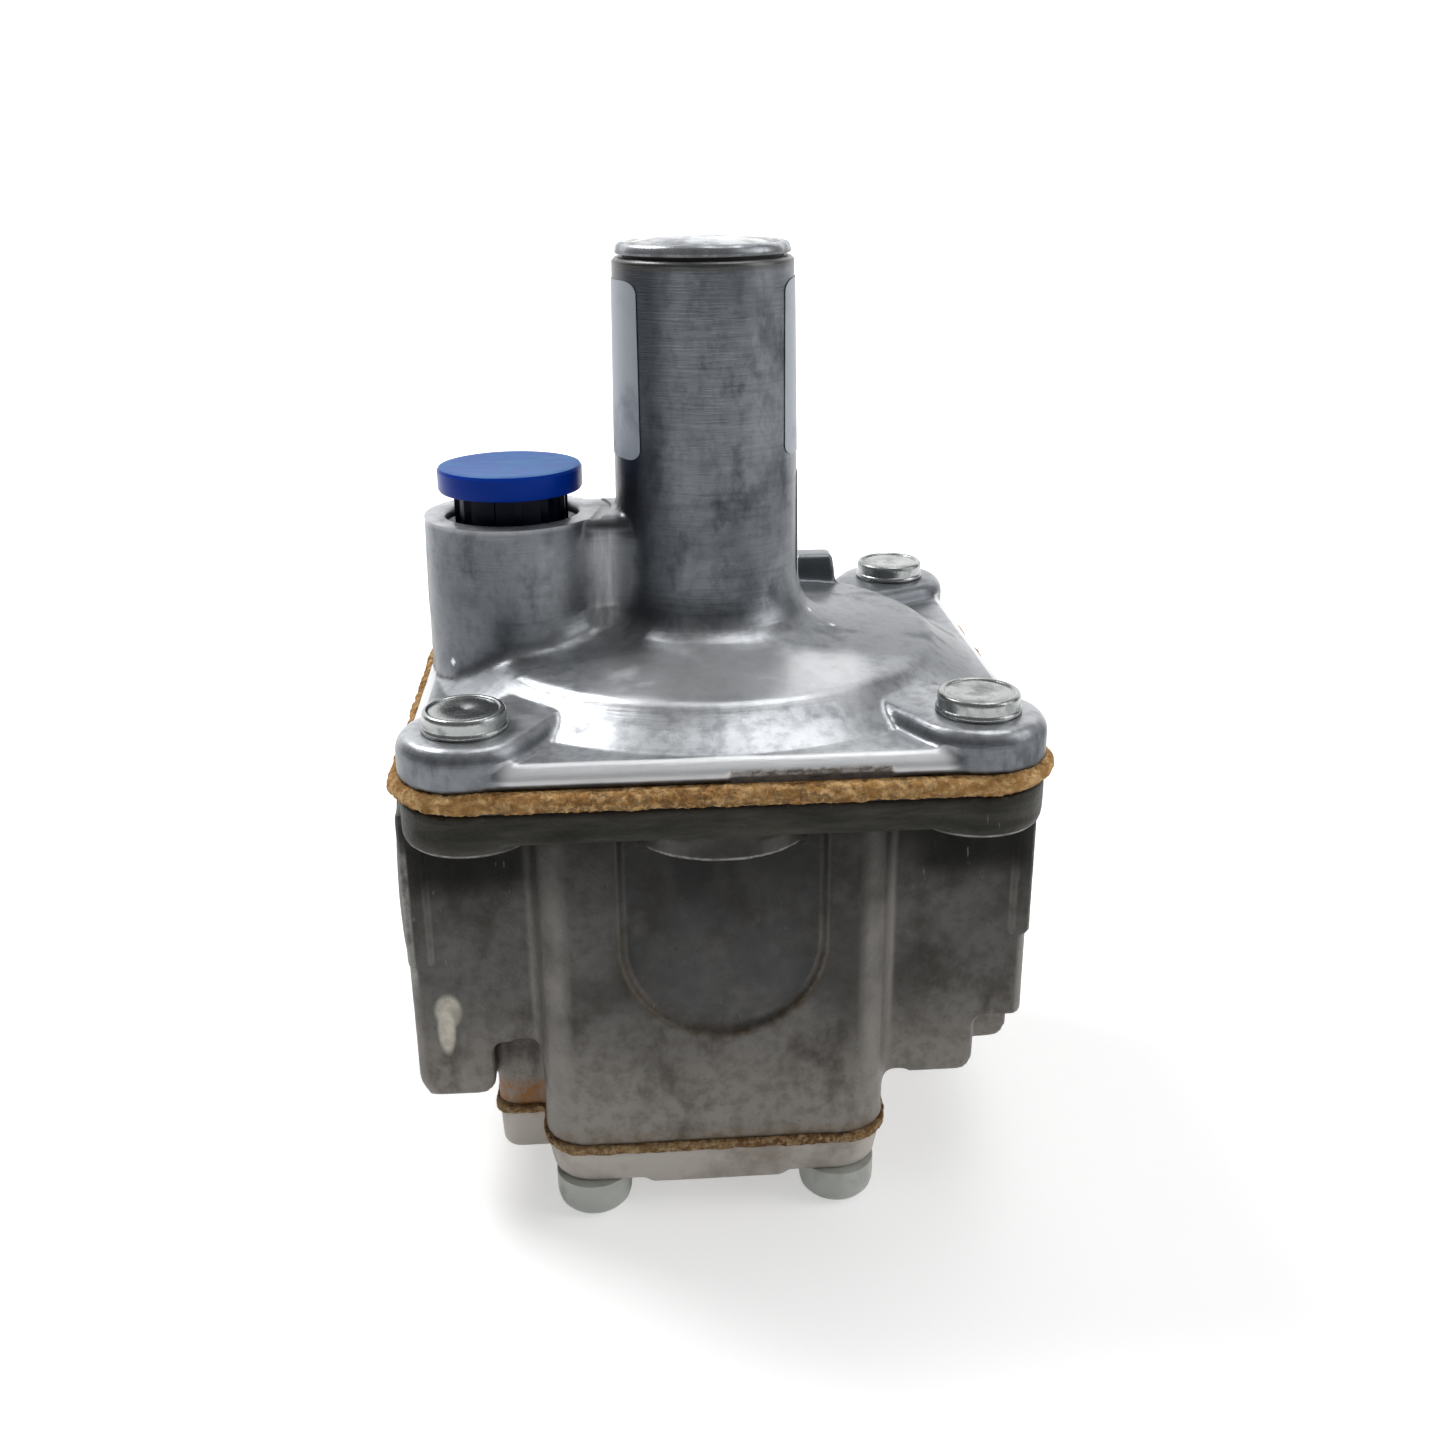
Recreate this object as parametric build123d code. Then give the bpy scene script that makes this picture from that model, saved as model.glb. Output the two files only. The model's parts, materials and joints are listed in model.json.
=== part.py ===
from build123d import *
from math import atan, cos, degrees, pi, sin
import os

# Spring-loaded gas appliance pressure regulator with threaded side ports.
# Millimetres. +Z runs up the spring tower, +X is the direction of gas flow,
# and Z = 0 is the plane of the four lower screw heads that it stands on.

# heights, from the standing plane up
cover_bottom = 4.2
cover_top = 11.1
body_bottom = 12.0
port_axis = 42.0
body_top = 64.2
diaphragm_top = 65.0
housing_bottom = 67.0
vent_boss_top = 92.0
tower_top = 125.2

# plan of the two clamped flanges
flange_half = 39.9
flange_thickness = 3.0
flange_chamfer = 1.3
flange_corner = 8.0
ear_radius = 8.6
ear_height = 5.5
ear_centre = 31.8
ear_tip_radius = 4.5
ear_reach = 14.0
gasket_half = 41.7
gasket_corner = 9.4
screw_radius = 2.5
screw_hole_radius = 2.8
tapping_depth = 9.0
thread_clearance = 0.05

# how far cutters and overlapping solids run past a face
past = 1.0

# top housing
dome_base_radius = 38.4
dome_shoulder_radius = 31.3
dome_shoulder = 74.1
dome_crown_radius = 17.5
dome_crown = 76.3
tower_base_radius = 12.7
tower_top_radius = 12.0
rim_chamfer = 0.5
adjuster_bore_radius = 9.0
spring_bore_radius = 8.6
adjuster_thread_bottom = 92.0
bowl_radius = 31.5
vent_boss_x = -26.7
vent_boss_radius = 11.9
vent_mouth_radius = 9.05
vent_bore_radius = 7.6
vent_bore_bottom = 77.0
bleed_radius = 1.0

# body casting
flange_bottom = 59.6
block_front = 34.5
block_left = -25.0
block_right = 21.7
block_middle = (block_left + block_right) / 2
block_corner = 6.0
wing_left = -42.0
wing_right = 41.2
wing_front = 28.5
wing_bottom = 17.2
wing_corner = 3.0
wing_edge = 1.6
notch_left = -31.5
notch_left_top = 25.0
notch_right = 34.5
notch_right_top = 25.8
notch_back = 20.5
notch_size = 10.0
notch_corner = 2.4
port_face = 44.0
port_boss_radius = 20.5
port_boss_chamfer = 2.0
port_radius = 12.0
port_thread_length = 16.0
passage_radius = 10.5
passage_wall = 28.0
seat_top = 44.0
seat_bottom = 40.0
seat_bead = 1.5
orifice_radius = 9.0
chamber_radius = 16.5
bowl_floor = 56.5
lobe_left = -31.9
lobe_half = 24.0
lobe_top = 30.0
lobe_corner = 2.5
body_ear_bottom = 58.4
lip_radius = 12.65
lip_bottom = 56.4
lip_inset = 0.4

# shallow U-shaped pockets in the front and the rear of the block
pocket_x = -0.5
pocket_radius = 13.2
pocket_depth = 1.0

# wrench lands on the outer ends of the port blocks
land_inner_left = -39.4
land_inner_right = 38.4
land_length = 21.0
land_middle = 49.0
land_rise = 0.8

# lower screws, centred on the block
lower_screw_x = 17.0
lower_screw_y = 29.3
lower_head_radius = 5.2

# valve train, drawn with the valve fully open
valve_lift = 4.5
stem_radius = 2.5
train_bore = 2.55
nut_flats = 8.0
washer_radius = 6.2
washer_thickness = 1.2
plate_level = 60.5
plate_thickness = 1.2
sheet_thickness = 0.8

disc_radius = 12.0
disc_top = seat_bottom - seat_bead - valve_lift
disc_bottom = disc_top - 3.0
holder_bottom = disc_bottom - 2.4
stem_bottom = 10.5
stem_top = 70.5
guide_boss_radius = 6.0
guide_boss_top = 18.0
guide_bore_bottom = 6.2
bush_radius = 4.0
spot_face = 5.5
spot_face_radius = 8.2
squeeze_out = 0.4

# range spring, its adjuster and the seal cap
hub_radius = 5.9
hub_height = 2.5
spring_radius = 6.9
wire_radius = 0.75
spring_turns = 8
spring_steps = 16
button_bottom = 100.0
adjuster_bottom = 103.0
adjuster_height = 8.0
recess_radius = 6.5
gasket_ring = 0.4
cap_gasket_radius = 10.6
cap_radius = 11.6
cap_skirt_bottom = 117.4


def column(sketch, bottom, top):
    return Pos(0, 0, bottom) * extrude(sketch, amount=top - bottom)


def disc(radius, bottom, top, x=0.0, y=0.0):
    return column(Pos(x, y) * Circle(radius), bottom, top)


def box(x_low, x_high, y_low, y_high, z_low, z_high):
    centre = Pos((x_low + x_high) / 2, (y_low + y_high) / 2, (z_low + z_high) / 2)
    return centre * Box(x_high - x_low, y_high - y_low, z_high - z_low)


def turned(points):
    # a solid of revolution about Z from (radius, height) points
    outline = [(radius, 0, height) for radius, height in points]
    return revolve(make_face(Polyline(*outline, close=True)), Axis.Z)


def barrel_x(radius, x_low, x_high, height):
    # a horizontal cylinder along X
    barrel = extrude(Plane.YZ * Circle(radius), amount=x_high - x_low)
    return Pos(x_low, 0, height) * barrel


def corners(x_half, y_half, x_middle=0.0):
    signs = (-1, 1)
    return [(x_middle + x_sign * x_half, y_sign * y_half) for x_sign in signs for y_sign in signs]


def upper_screw_places():
    return corners(ear_centre, ear_centre)


def lower_screw_places():
    return corners(lower_screw_x, lower_screw_y, block_middle)


def drilled(solid, places, radius, bottom, top):
    for x, y in places:
        solid -= disc(radius, bottom, top, x, y)
    return solid


def level_edges(solid, low, high):
    return solid.edges().filter_by_position(Axis.Z, low, high)


# ---------------------------------------------------------------- housing

def housing_core():
    # the drafted tower and the dome it grows out of, turned as one profile
    foot = housing_bottom + past
    core = turned([
        (0, foot),
        (dome_base_radius, foot),
        (dome_base_radius, housing_bottom + flange_thickness),
        (dome_shoulder_radius, dome_shoulder),
        (dome_crown_radius, dome_crown),
        (tower_base_radius, dome_crown),
        (tower_top_radius, tower_top - rim_chamfer),
        (tower_top_radius - rim_chamfer, tower_top),
        (0, tower_top),
    ])
    core = fillet(level_edges(core, dome_shoulder - 0.05, dome_shoulder + 0.05), 2.0)
    crown = level_edges(core, dome_crown - 0.01, dome_crown + 0.01).sort_by(SortBy.RADIUS)
    return fillet(crown[0], 3.0)


def housing_ear():
    # a corner boss whose sides close in towards the dome
    inner = ear_centre - ear_reach / 2**0.5
    boss_edges = (Pos(ear_centre, ear_centre) * Circle(ear_radius)).edges()
    tip_edges = (Pos(inner, inner) * Circle(ear_tip_radius)).edges()
    ear_top = housing_bottom + ear_height
    ear = column(make_hull(boss_edges + tip_edges), housing_bottom, ear_top)
    return chamfer(level_edges(ear, ear_top - 0.01, ear_top + 0.01), flange_chamfer)


def housing_flange():
    flange_top = housing_bottom + flange_thickness
    side = 2 * flange_half
    flange = column(RectangleRounded(side, side, flange_corner), housing_bottom, flange_top)
    flange = chamfer(level_edges(flange, flange_top - 0.01, flange_top + 0.01), flange_chamfer)
    for index in range(4):
        flange += Rot(0, 0, 90 * index) * housing_ear()
    return flange


def vent_boss():
    # the drafted boss and the web that ties it to the tower
    foot = housing_bottom + 2 * past
    rise = vent_boss_top - foot
    draft = (tower_base_radius - tower_top_radius) / (tower_top - dome_crown)
    foot_radius = vent_boss_radius + draft * rise
    boss = turned([(0, 0), (foot_radius, 0), (vent_boss_radius, rise), (0, rise)])
    boss = chamfer(level_edges(boss, rise - 0.01, rise + 0.01), 0.9)
    # the web's plan ends a little inside the boss and the tower
    web_half = 7.0
    web_sweep = 5.0
    inset = 0.5
    plan = Circle(tower_base_radius - inset) + Pos(vent_boss_x, 0) * Circle(foot_radius - inset)
    plan += Pos(vent_boss_x / 2, 0) * Rectangle(-vent_boss_x, 2 * web_half)
    web_corners = plan.vertices().filter_by(lambda v: abs(abs(v.Y) - web_half) < 0.01)
    plan = fillet(web_corners, web_sweep)
    web = extrude(plan, amount=rise - 0.5, taper=degrees(atan(draft)))
    return Pos(0, 0, foot) * (web + Pos(vent_boss_x, 0) * boss)


def rating_lug():
    # the small drafted lug cast on the dome behind the tower
    lug = extrude(Rectangle(7.0, 6.0), amount=5.0, taper=10)
    return Pos(18.0, 23.0, dome_shoulder) * chamfer(lug.edges().group_by(Axis.Z)[-1], 0.5)


def housing_cavity():
    cavity = turned([
        (0, housing_bottom - past),
        (bowl_radius, housing_bottom - past),
        (bowl_radius, housing_bottom + 1.5),
        (27.5, 71.2),
        (16.0, 73.0),
        (spring_bore_radius, 73.0),
        (spring_bore_radius, adjuster_thread_bottom),
        (adjuster_bore_radius, adjuster_thread_bottom),
        (adjuster_bore_radius, tower_top + past),
        (0, tower_top + past),
    ])
    vent = turned([
        (0, vent_bore_bottom),
        (vent_bore_radius, vent_bore_bottom),
        (vent_bore_radius, vent_boss_top - 1.6),
        (vent_mouth_radius, vent_boss_top),
        (vent_mouth_radius, vent_boss_top + past),
        (0, vent_boss_top + past),
    ])
    bleed = disc(bleed_radius, housing_bottom, vent_bore_bottom + past)
    return [cavity, Pos(vent_boss_x, 0) * vent, Pos(vent_boss_x + 3, 0) * bleed]


def top_housing():
    housing = housing_core() + housing_flange() + vent_boss() + rating_lug()
    for hollow in housing_cavity():
        housing -= hollow
    ear_top = housing_bottom + ear_height
    return drilled(housing, upper_screw_places(), screw_hole_radius, housing_bottom - past, ear_top + past)


# ---------------------------------------------------------------- body

def block_plan():
    width = block_right - block_left
    return Pos(block_middle, 0) * RectangleRounded(width, 2 * block_front, block_corner)


def lobe_plan():
    # overlaps the block by more than its corner radius
    overlap = block_corner + past
    depth = block_left + overlap - lobe_left
    return Pos(lobe_left + depth / 2, 0) * RectangleRounded(depth, 2 * lobe_half, lobe_corner)


def wing_notch(x, top, y_low, y_high):
    # opens to the right of x, and rounds the lower corner that it leaves there
    notch = box(x, x + notch_size, y_low, y_high, top - notch_size, top)
    centre_x = x - notch_corner
    centre_z = wing_bottom + notch_corner
    corner = box(centre_x, x, y_low, y_high, wing_bottom - past, centre_z)
    rod = Rot(90, 0, 0) * Cylinder(notch_corner, 2 * (y_high - y_low))
    return notch + (corner - Pos(centre_x, (y_low + y_high) / 2, centre_z) * rod)


def wings():
    # the port blocks, drawn in front view and notched at their lower corners
    width = wing_right - wing_left
    height = flange_bottom + past - wing_bottom
    outline = Rectangle(width, height)
    outline = fillet(outline.vertices().filter_by(lambda v: v.Y < 0), wing_corner)
    slab = Rot(90, 0, 0) * extrude(outline, amount=wing_front, both=True)
    slab = Pos((wing_left + wing_right) / 2, 0, wing_bottom + height / 2) * slab
    slab = fillet(slab.edges().filter_by(Axis.Z), wing_edge)
    for y_low, y_high in ((-wing_front - past, -notch_back), (notch_back, wing_front + past)):
        slab -= wing_notch(notch_left, notch_left_top, y_low, y_high)
        slab -= wing_notch(notch_right, notch_right_top, y_low, y_high)
    return slab


def body_flange():
    side = 2 * flange_half
    flange = column(RectangleRounded(side, side, flange_corner), flange_bottom, body_top)
    for x, y in upper_screw_places():
        flange += disc(ear_radius, body_ear_bottom, body_top, x, y)
    return flange


def body_outside():
    block = column(block_plan(), body_bottom, body_top - past)
    lobe = column(lobe_plan(), body_bottom, lobe_top)
    bosses = barrel_x(port_boss_radius, -port_face, port_face, port_axis)
    bosses = chamfer(bosses.edges().filter_by(GeomType.CIRCLE), port_boss_chamfer)
    return body_flange() + block + wings() + lobe + bosses


def face_pocket():
    # shallow U-shaped pocket, open under the flange, drawn for the front face
    height = flange_bottom - port_axis
    plan = Circle(pocket_radius) + Pos(0, height / 2) * Rectangle(2 * pocket_radius, height)
    pocket = Rot(90, 0, 0) * extrude(plan, amount=pocket_depth + past)
    return Pos(pocket_x, pocket_depth - block_front, port_axis) * pocket


def wrench_lands():
    # raised lands at the outer front and rear edges of both port blocks
    lands = []
    edge_inset = 0.6
    left_land = (wing_left + edge_inset, land_inner_left)
    right_land = (land_inner_right, wing_right - edge_inset)
    for x_low, x_high in (left_land, right_land):
        plan = RectangleRounded(x_high - x_low, land_length, 0.9)
        for y_sign in (-1, 1):
            land = Rot(90 * y_sign, 0, 0) * extrude(plan, amount=land_rise + past)
            y_start = y_sign * (past - wing_front)
            lands.append(Pos((x_low + x_high) / 2, y_start, land_middle) * land)
    return lands


def body_hollows():
    bowl = turned([
        (0, bowl_floor),
        (bowl_radius - 7.5, bowl_floor),
        (bowl_radius, bowl_floor + 4.0),
        (bowl_radius, body_top + past),
        (0, body_top + past),
    ])
    inlet = barrel_x(port_radius, -port_face - past, port_thread_length - port_face, port_axis)
    outlet = barrel_x(port_radius, port_face - port_thread_length, port_face + past, port_axis)
    # between a port's bore and its chamber, each passage keeps one side of the seat wall
    inner = chamber_radius / 2
    inlet_way = barrel_x(passage_radius, -port_face, -inner, port_axis)
    inlet_way -= box(-passage_wall, 0, -chamber_radius, chamber_radius, seat_bottom, bowl_floor)
    outlet_way = barrel_x(passage_radius, inner, port_face, port_axis)
    outlet_way -= box(0, passage_wall, -chamber_radius, chamber_radius, lobe_top, seat_top)
    chamber = disc(chamber_radius, body_bottom - past, seat_bottom)
    upper = disc(chamber_radius, seat_top, bowl_floor + past)
    return [bowl, inlet, outlet, inlet_way, outlet_way, chamber, upper]


def seat_bead_ring():
    ring = turned([
        (orifice_radius, seat_bottom + past),
        (orifice_radius, seat_bottom - seat_bead),
        (orifice_radius + 0.6, seat_bottom - seat_bead),
        (orifice_radius + 1.8, seat_bottom + past),
    ])
    return ring


def body_casting():
    body = body_outside()
    for land in wrench_lands():
        body += land
    for index in range(2):
        turn = Rot(0, 0, 180 * index)
        body -= turn * face_pocket()
        # the round bowl wall shows in each pocket
        lip_y = lip_radius + lip_inset - flange_half
        body += turn * disc(lip_radius, lip_bottom, flange_bottom + past, pocket_x, lip_y)
    for hollow in body_hollows():
        body -= hollow
    body += seat_bead_ring()
    body -= disc(orifice_radius, seat_bottom - 2 * past, seat_top + past)
    tapped = screw_radius + thread_clearance
    body = drilled(body, upper_screw_places(), tapped, body_top - tapping_depth, body_top + past)
    return drilled(body, lower_screw_places(), tapped, body_bottom - past, body_bottom + tapping_depth)


# ---------------------------------------------------------------- covers, gaskets, diaphragm

def main_gasket():
    side = 2 * gasket_half
    gasket = column(RectangleRounded(side, side, gasket_corner), diaphragm_top, housing_bottom)
    gasket -= disc(bowl_radius, diaphragm_top - past, housing_bottom + past)
    return drilled(gasket, upper_screw_places(), screw_hole_radius, diaphragm_top - past, housing_bottom + past)


def diaphragm():
    # clamped rim, one rolled convolution and a flat centre between the two plates
    side = 2 * flange_half
    rim = column(RectangleRounded(side, side, flange_corner), body_top, diaphragm_top)
    rim -= disc(bowl_radius - 1.5, body_top - past, diaphragm_top + past)
    sheet_bottom = plate_level + plate_thickness
    sheet_top = sheet_bottom + sheet_thickness
    centre = turned([
        (train_bore, sheet_bottom),
        (24.6, sheet_bottom),
        (28.2, body_top),
        (bowl_radius - 1.0, body_top),
        (bowl_radius - 1.0, diaphragm_top),
        (27.8, diaphragm_top),
        (24.2, sheet_top),
        (train_bore, sheet_top),
    ])
    return drilled(rim + centre, upper_screw_places(), screw_hole_radius, body_top - past, diaphragm_top + past)


def spread(solid, places):
    return Compound(children=[Pos(x, y) * solid for x, y in places])


def bottom_gasket():
    gasket = column(offset(block_plan() + lobe_plan(), squeeze_out), cover_top, body_bottom)
    gasket -= disc(chamber_radius, cover_top - past, body_bottom + past)
    return drilled(gasket, lower_screw_places(), screw_hole_radius, cover_top - past, body_bottom + past)


def bottom_cover():
    # drafted cap with an ear under the lobe, a stem guide boss and four spot faces
    depth = cover_top - cover_bottom
    block = extrude(Rot(180, 0, 0) * block_plan(), amount=depth, taper=6)
    ear_depth = 6.0
    ear = extrude(Rot(180, 0, 0) * lobe_plan(), amount=ear_depth, taper=8)
    cover = Pos(0, 0, cover_top) * (block + ear)
    cover += disc(guide_boss_radius, cover_top - past, guide_boss_top)
    cover -= disc(bush_radius, guide_bore_bottom, guide_boss_top + past)
    cover = drilled(cover, lower_screw_places(), spot_face_radius, cover_bottom - past, spot_face)
    return drilled(cover, lower_screw_places(), screw_hole_radius, cover_bottom - past, cover_top + past)


def stem_bush():
    bush = disc(bush_radius, guide_bore_bottom + 3, guide_boss_top)
    bush += disc(bush_radius + 1.4, guide_boss_top, guide_boss_top + 1.2)
    return bush - disc(stem_radius + thread_clearance, 0, guide_boss_top + 2)


def top_screws():
    seat = housing_bottom + ear_height
    screw = turned([
        (0, seat - 15.5),
        (screw_radius, seat - 15.5),
        (screw_radius, seat),
        (5.25, seat),
        (5.25, seat + 1.1),
        (4.8, seat + 1.5),
        (4.8, seat + 2.8),
        (0, seat + 2.8),
    ])
    return spread(screw, upper_screw_places())


def bottom_screws():
    screw = turned([
        (0, 0),
        (3.4, 0),
        (lower_head_radius - 0.6, 0.7),
        (lower_head_radius, 2.2),
        (lower_head_radius, spot_face),
        (screw_radius, spot_face),
        (screw_radius, body_bottom + 6.7),
        (0, body_bottom + 6.7),
    ])
    return spread(screw, lower_screw_places())


# ---------------------------------------------------------------- valve train

def hex_nut(across_flats, bottom, top):
    hexagon = RegularPolygon(across_flats / 2, 6, major_radius=False)
    return column(hexagon, bottom, top) - disc(train_bore, bottom - past, top + past)


def lower_plate():
    return turned([
        (train_bore, plate_level),
        (18.5, plate_level),
        (19.8, plate_level - 0.8),
        (20.3, plate_level),
        (19.2, plate_level + plate_thickness),
        (train_bore, plate_level + plate_thickness),
    ])


def upper_plate():
    # pressed dish whose hub centres the spring and whose rim stiffens the sheet
    base = plate_level + plate_thickness + sheet_thickness
    return turned([
        (train_bore, base),
        (20.6, base),
        (20.6, base + 2.7),
        (19.4, base + 2.7),
        (19.4, base + plate_thickness),
        (hub_radius, base + plate_thickness),
        (hub_radius - 0.4, base + hub_height),
        (train_bore, base + hub_height),
    ])


def valve_stem():
    return turned([
        (0, stem_bottom),
        (stem_radius, stem_bottom),
        (stem_radius, holder_bottom - 2.5),
        (4.2, holder_bottom - 2.5),
        (4.2, holder_bottom),
        (stem_radius, holder_bottom),
        (stem_radius, plate_level - 2.0),
        (4.6, plate_level - 2.0),
        (4.6, plate_level),
        (stem_radius, plate_level),
        (stem_radius, stem_top),
        (0, stem_top),
    ])


def disc_holder():
    # shallow cup that backs the rubber disc and keeps its edge in
    return turned([
        (train_bore, holder_bottom),
        (12.0, holder_bottom),
        (13.0, holder_bottom + 1.0),
        (13.0, disc_bottom + 1.4),
        (disc_radius, disc_bottom + 1.4),
        (disc_radius, disc_bottom),
        (train_bore, disc_bottom),
    ])


def valve_disc():
    return disc(disc_radius, disc_bottom, disc_top) - disc(train_bore, disc_bottom - past, disc_top + past)


def disc_washer():
    top = disc_top + washer_thickness
    return disc(washer_radius, disc_top, top) - disc(train_bore, disc_top - past, top + past)


def disc_nut():
    bottom = disc_top + washer_thickness
    return hex_nut(nut_flats, bottom, bottom + 3.0)


def stem_nut():
    base = plate_level + plate_thickness + sheet_thickness + hub_height
    return hex_nut(nut_flats, base, base + 3.6)


# ---------------------------------------------------------------- spring and adjuster

def main_spring():
    # the wire's centre line is a polygon helix between two closed end coils
    bottom = plate_level + 2 * plate_thickness + sheet_thickness + wire_radius
    top = button_bottom - wire_radius
    count = spring_turns * spring_steps
    points = []
    for index in range(count + 1):
        angle = 2 * pi * index / spring_steps
        level = bottom + (top - bottom) * index / count
        points.append((spring_radius * cos(angle), spring_radius * sin(angle), level))
    line = Polyline(*points)
    wire = RegularPolygon(wire_radius, 6)
    coil = sweep(Plane(line @ 0, z_dir=line % 0) * wire, line, transition=Transition.RIGHT)
    ring_section = Plane.XZ * Pos(spring_radius, 0) * wire
    ring = revolve(ring_section, Axis.Z)
    return coil + Pos(0, 0, bottom) * ring + Pos(0, 0, top) * ring


def spring_button():
    return turned([
        (0, button_bottom - 3.0),
        (hub_radius, button_bottom - 3.0),
        (hub_radius, button_bottom),
        (8.0, button_bottom),
        (8.0, button_bottom + 1.6),
        (3.0, button_bottom + 1.6),
        (3.0, adjuster_bottom),
        (0, adjuster_bottom),
    ])


def adjusting_screw():
    radius = adjuster_bore_radius - thread_clearance
    top = adjuster_bottom + adjuster_height
    screw = turned([
        (0, adjuster_bottom),
        (radius, adjuster_bottom),
        (radius, top),
        (0, top),
    ])
    # a round recess with a screwdriver slot across its floor
    screw -= disc(recess_radius, top - 2.5, top + past)
    slot_half = recess_radius - 1.0
    return screw - box(-slot_half, slot_half, -1.1, 1.1, top - 5.5, top + past)


def seal_cap():
    # hollow threaded plug with a domed head that covers the tower's rim
    skirt = adjuster_bore_radius - thread_clearance
    seat = tower_top + gasket_ring
    return turned([
        (0, seat + 2.05),
        (cap_radius - 2.2, seat + 1.8),
        (cap_radius - 0.6, seat + 1.2),
        (cap_radius, seat + 0.5),
        (cap_radius, seat),
        (skirt, seat),
        (skirt, cap_skirt_bottom),
        (skirt - 2.0, cap_skirt_bottom),
        (skirt - 2.0, seat - 0.6),
        (0, seat - 0.6),
    ])


def cap_gasket():
    ring = disc(cap_gasket_radius, tower_top, tower_top + gasket_ring)
    return ring - disc(adjuster_bore_radius, tower_top - past, tower_top + past)


def vent_plug():
    # shipping plug: disc head on a hollow barrel with one grip bead
    head_bottom = vent_boss_top + 3.2
    head_top = head_bottom + 3.3
    barrel_bottom = vent_boss_top - 7.0
    bead_radius = vent_bore_radius - 0.06
    bead_top = vent_boss_top - 2.8
    plug = turned([
        (0, head_top),
        (9.4, head_top),
        (9.8, head_top - 0.4),
        (9.8, head_bottom),
        (7.3, head_bottom),
        (7.1, bead_top + 0.5),
        (bead_radius, bead_top),
        (bead_radius, bead_top - 0.8),
        (6.7, barrel_bottom),
        (5.6, barrel_bottom),
        (5.6, head_bottom + 0.8),
        (0, head_bottom + 0.8),
    ])
    return Pos(vent_boss_x, 0) * plug


makers = [
    body_casting, top_housing, main_gasket, diaphragm, bottom_gasket, bottom_cover, stem_bush,
    top_screws, bottom_screws, lower_plate, upper_plate, valve_stem, stem_nut, disc_holder,
    valve_disc, disc_washer, disc_nut, main_spring, spring_button, adjusting_screw, seal_cap,
    cap_gasket, vent_plug,
]

os.makedirs("parts", exist_ok=True)
for maker in makers:
    export_step(maker(), "parts/" + maker.__name__ + ".step")
    print("wrote", maker.__name__)
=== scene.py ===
import json
from math import cos, hypot, pi, radians, sin

import bmesh
import bpy
from mathutils import Matrix, Vector


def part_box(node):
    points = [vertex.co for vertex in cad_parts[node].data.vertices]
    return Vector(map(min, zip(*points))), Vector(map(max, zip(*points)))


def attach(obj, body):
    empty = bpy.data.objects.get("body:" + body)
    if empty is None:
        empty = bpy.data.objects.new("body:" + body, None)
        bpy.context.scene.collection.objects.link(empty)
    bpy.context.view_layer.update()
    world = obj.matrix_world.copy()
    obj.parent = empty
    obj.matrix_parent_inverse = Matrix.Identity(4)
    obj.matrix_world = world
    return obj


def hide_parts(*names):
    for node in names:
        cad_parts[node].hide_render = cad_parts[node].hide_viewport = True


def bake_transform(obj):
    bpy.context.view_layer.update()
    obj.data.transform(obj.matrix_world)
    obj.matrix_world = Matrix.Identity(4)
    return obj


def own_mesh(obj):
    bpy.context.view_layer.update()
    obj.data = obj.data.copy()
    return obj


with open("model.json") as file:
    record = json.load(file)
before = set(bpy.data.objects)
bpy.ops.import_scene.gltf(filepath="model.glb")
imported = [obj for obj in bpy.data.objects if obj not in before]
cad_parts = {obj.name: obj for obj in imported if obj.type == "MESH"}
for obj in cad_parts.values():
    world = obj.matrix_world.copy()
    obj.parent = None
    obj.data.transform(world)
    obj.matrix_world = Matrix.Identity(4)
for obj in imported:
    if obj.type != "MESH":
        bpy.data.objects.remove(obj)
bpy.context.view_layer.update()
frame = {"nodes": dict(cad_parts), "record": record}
cadNodes = frame["nodes"]
mm = 0.001


def cadSide(node, axis, end=1):
    # the low (0) or high (1) side of a CAD node's box, in millimetres
    return round(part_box(node)[end]["xyz".index(axis)] / mm, 2)


# what several pieces share, in millimetres
fit = {
    "coverLow": cadSide("bottom_cover", "z", 0), "bodyLow": cadSide("body_casting", "z", 0),
    "bodyHigh": cadSide("body_casting", "z"), "gasketLow": cadSide("main_gasket", "z", 0),
    "housingLow": cadSide("top_housing", "z", 0), "towerHigh": cadSide("top_housing", "z"),
    "flangeHalf": cadSide("diaphragm", "x"), "flangeCorner": 8.0, "screwAt": 31.8,
    "bossX": -26.7, "portHeight": 42.0,
}

# the lower casting's block and its side lobe, seen from above; the lobe's right side is inside the block
plan = {
    "block": {"left": -25.0, "right": 21.7, "front": 34.5, "corner": 6.0, "steps": 8},
    "lobe": {"left": -31.9, "right": -14.0, "front": 24.0, "corner": 2.5, "steps": 4},
}


# modelling steps; places and sizes are in millimetres
def deselect():
    if bpy.context.object and bpy.context.object.mode != "OBJECT":
        bpy.ops.object.mode_set(mode="OBJECT")
    bpy.ops.object.select_all(action="DESELECT")


def makeActive(piece):
    deselect()
    piece.select_set(True)
    bpy.context.view_layer.objects.active = piece


def edit(piece):
    # edit mode with every vertex selected
    makeActive(piece)
    bpy.ops.object.mode_set(mode="EDIT")
    bpy.ops.mesh.select_mode(type="VERT")
    bpy.ops.mesh.select_all(action="SELECT")


def leave():
    bpy.ops.object.mode_set(mode="OBJECT")


def settled(name):
    # the new primitive keeps its place in its mesh
    piece = bpy.context.object
    piece.name = name
    bpy.ops.object.transform_apply(location=True, rotation=True, scale=True)
    return piece


def newBox(name, low, high):
    deselect()
    middle = [(a + b) / 2 * mm for a, b in zip(low, high)]
    size = [(b - a) * mm for a, b in zip(low, high)]
    bpy.ops.mesh.primitive_cube_add(size=1, location=middle, scale=size)
    return settled(name)


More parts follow.
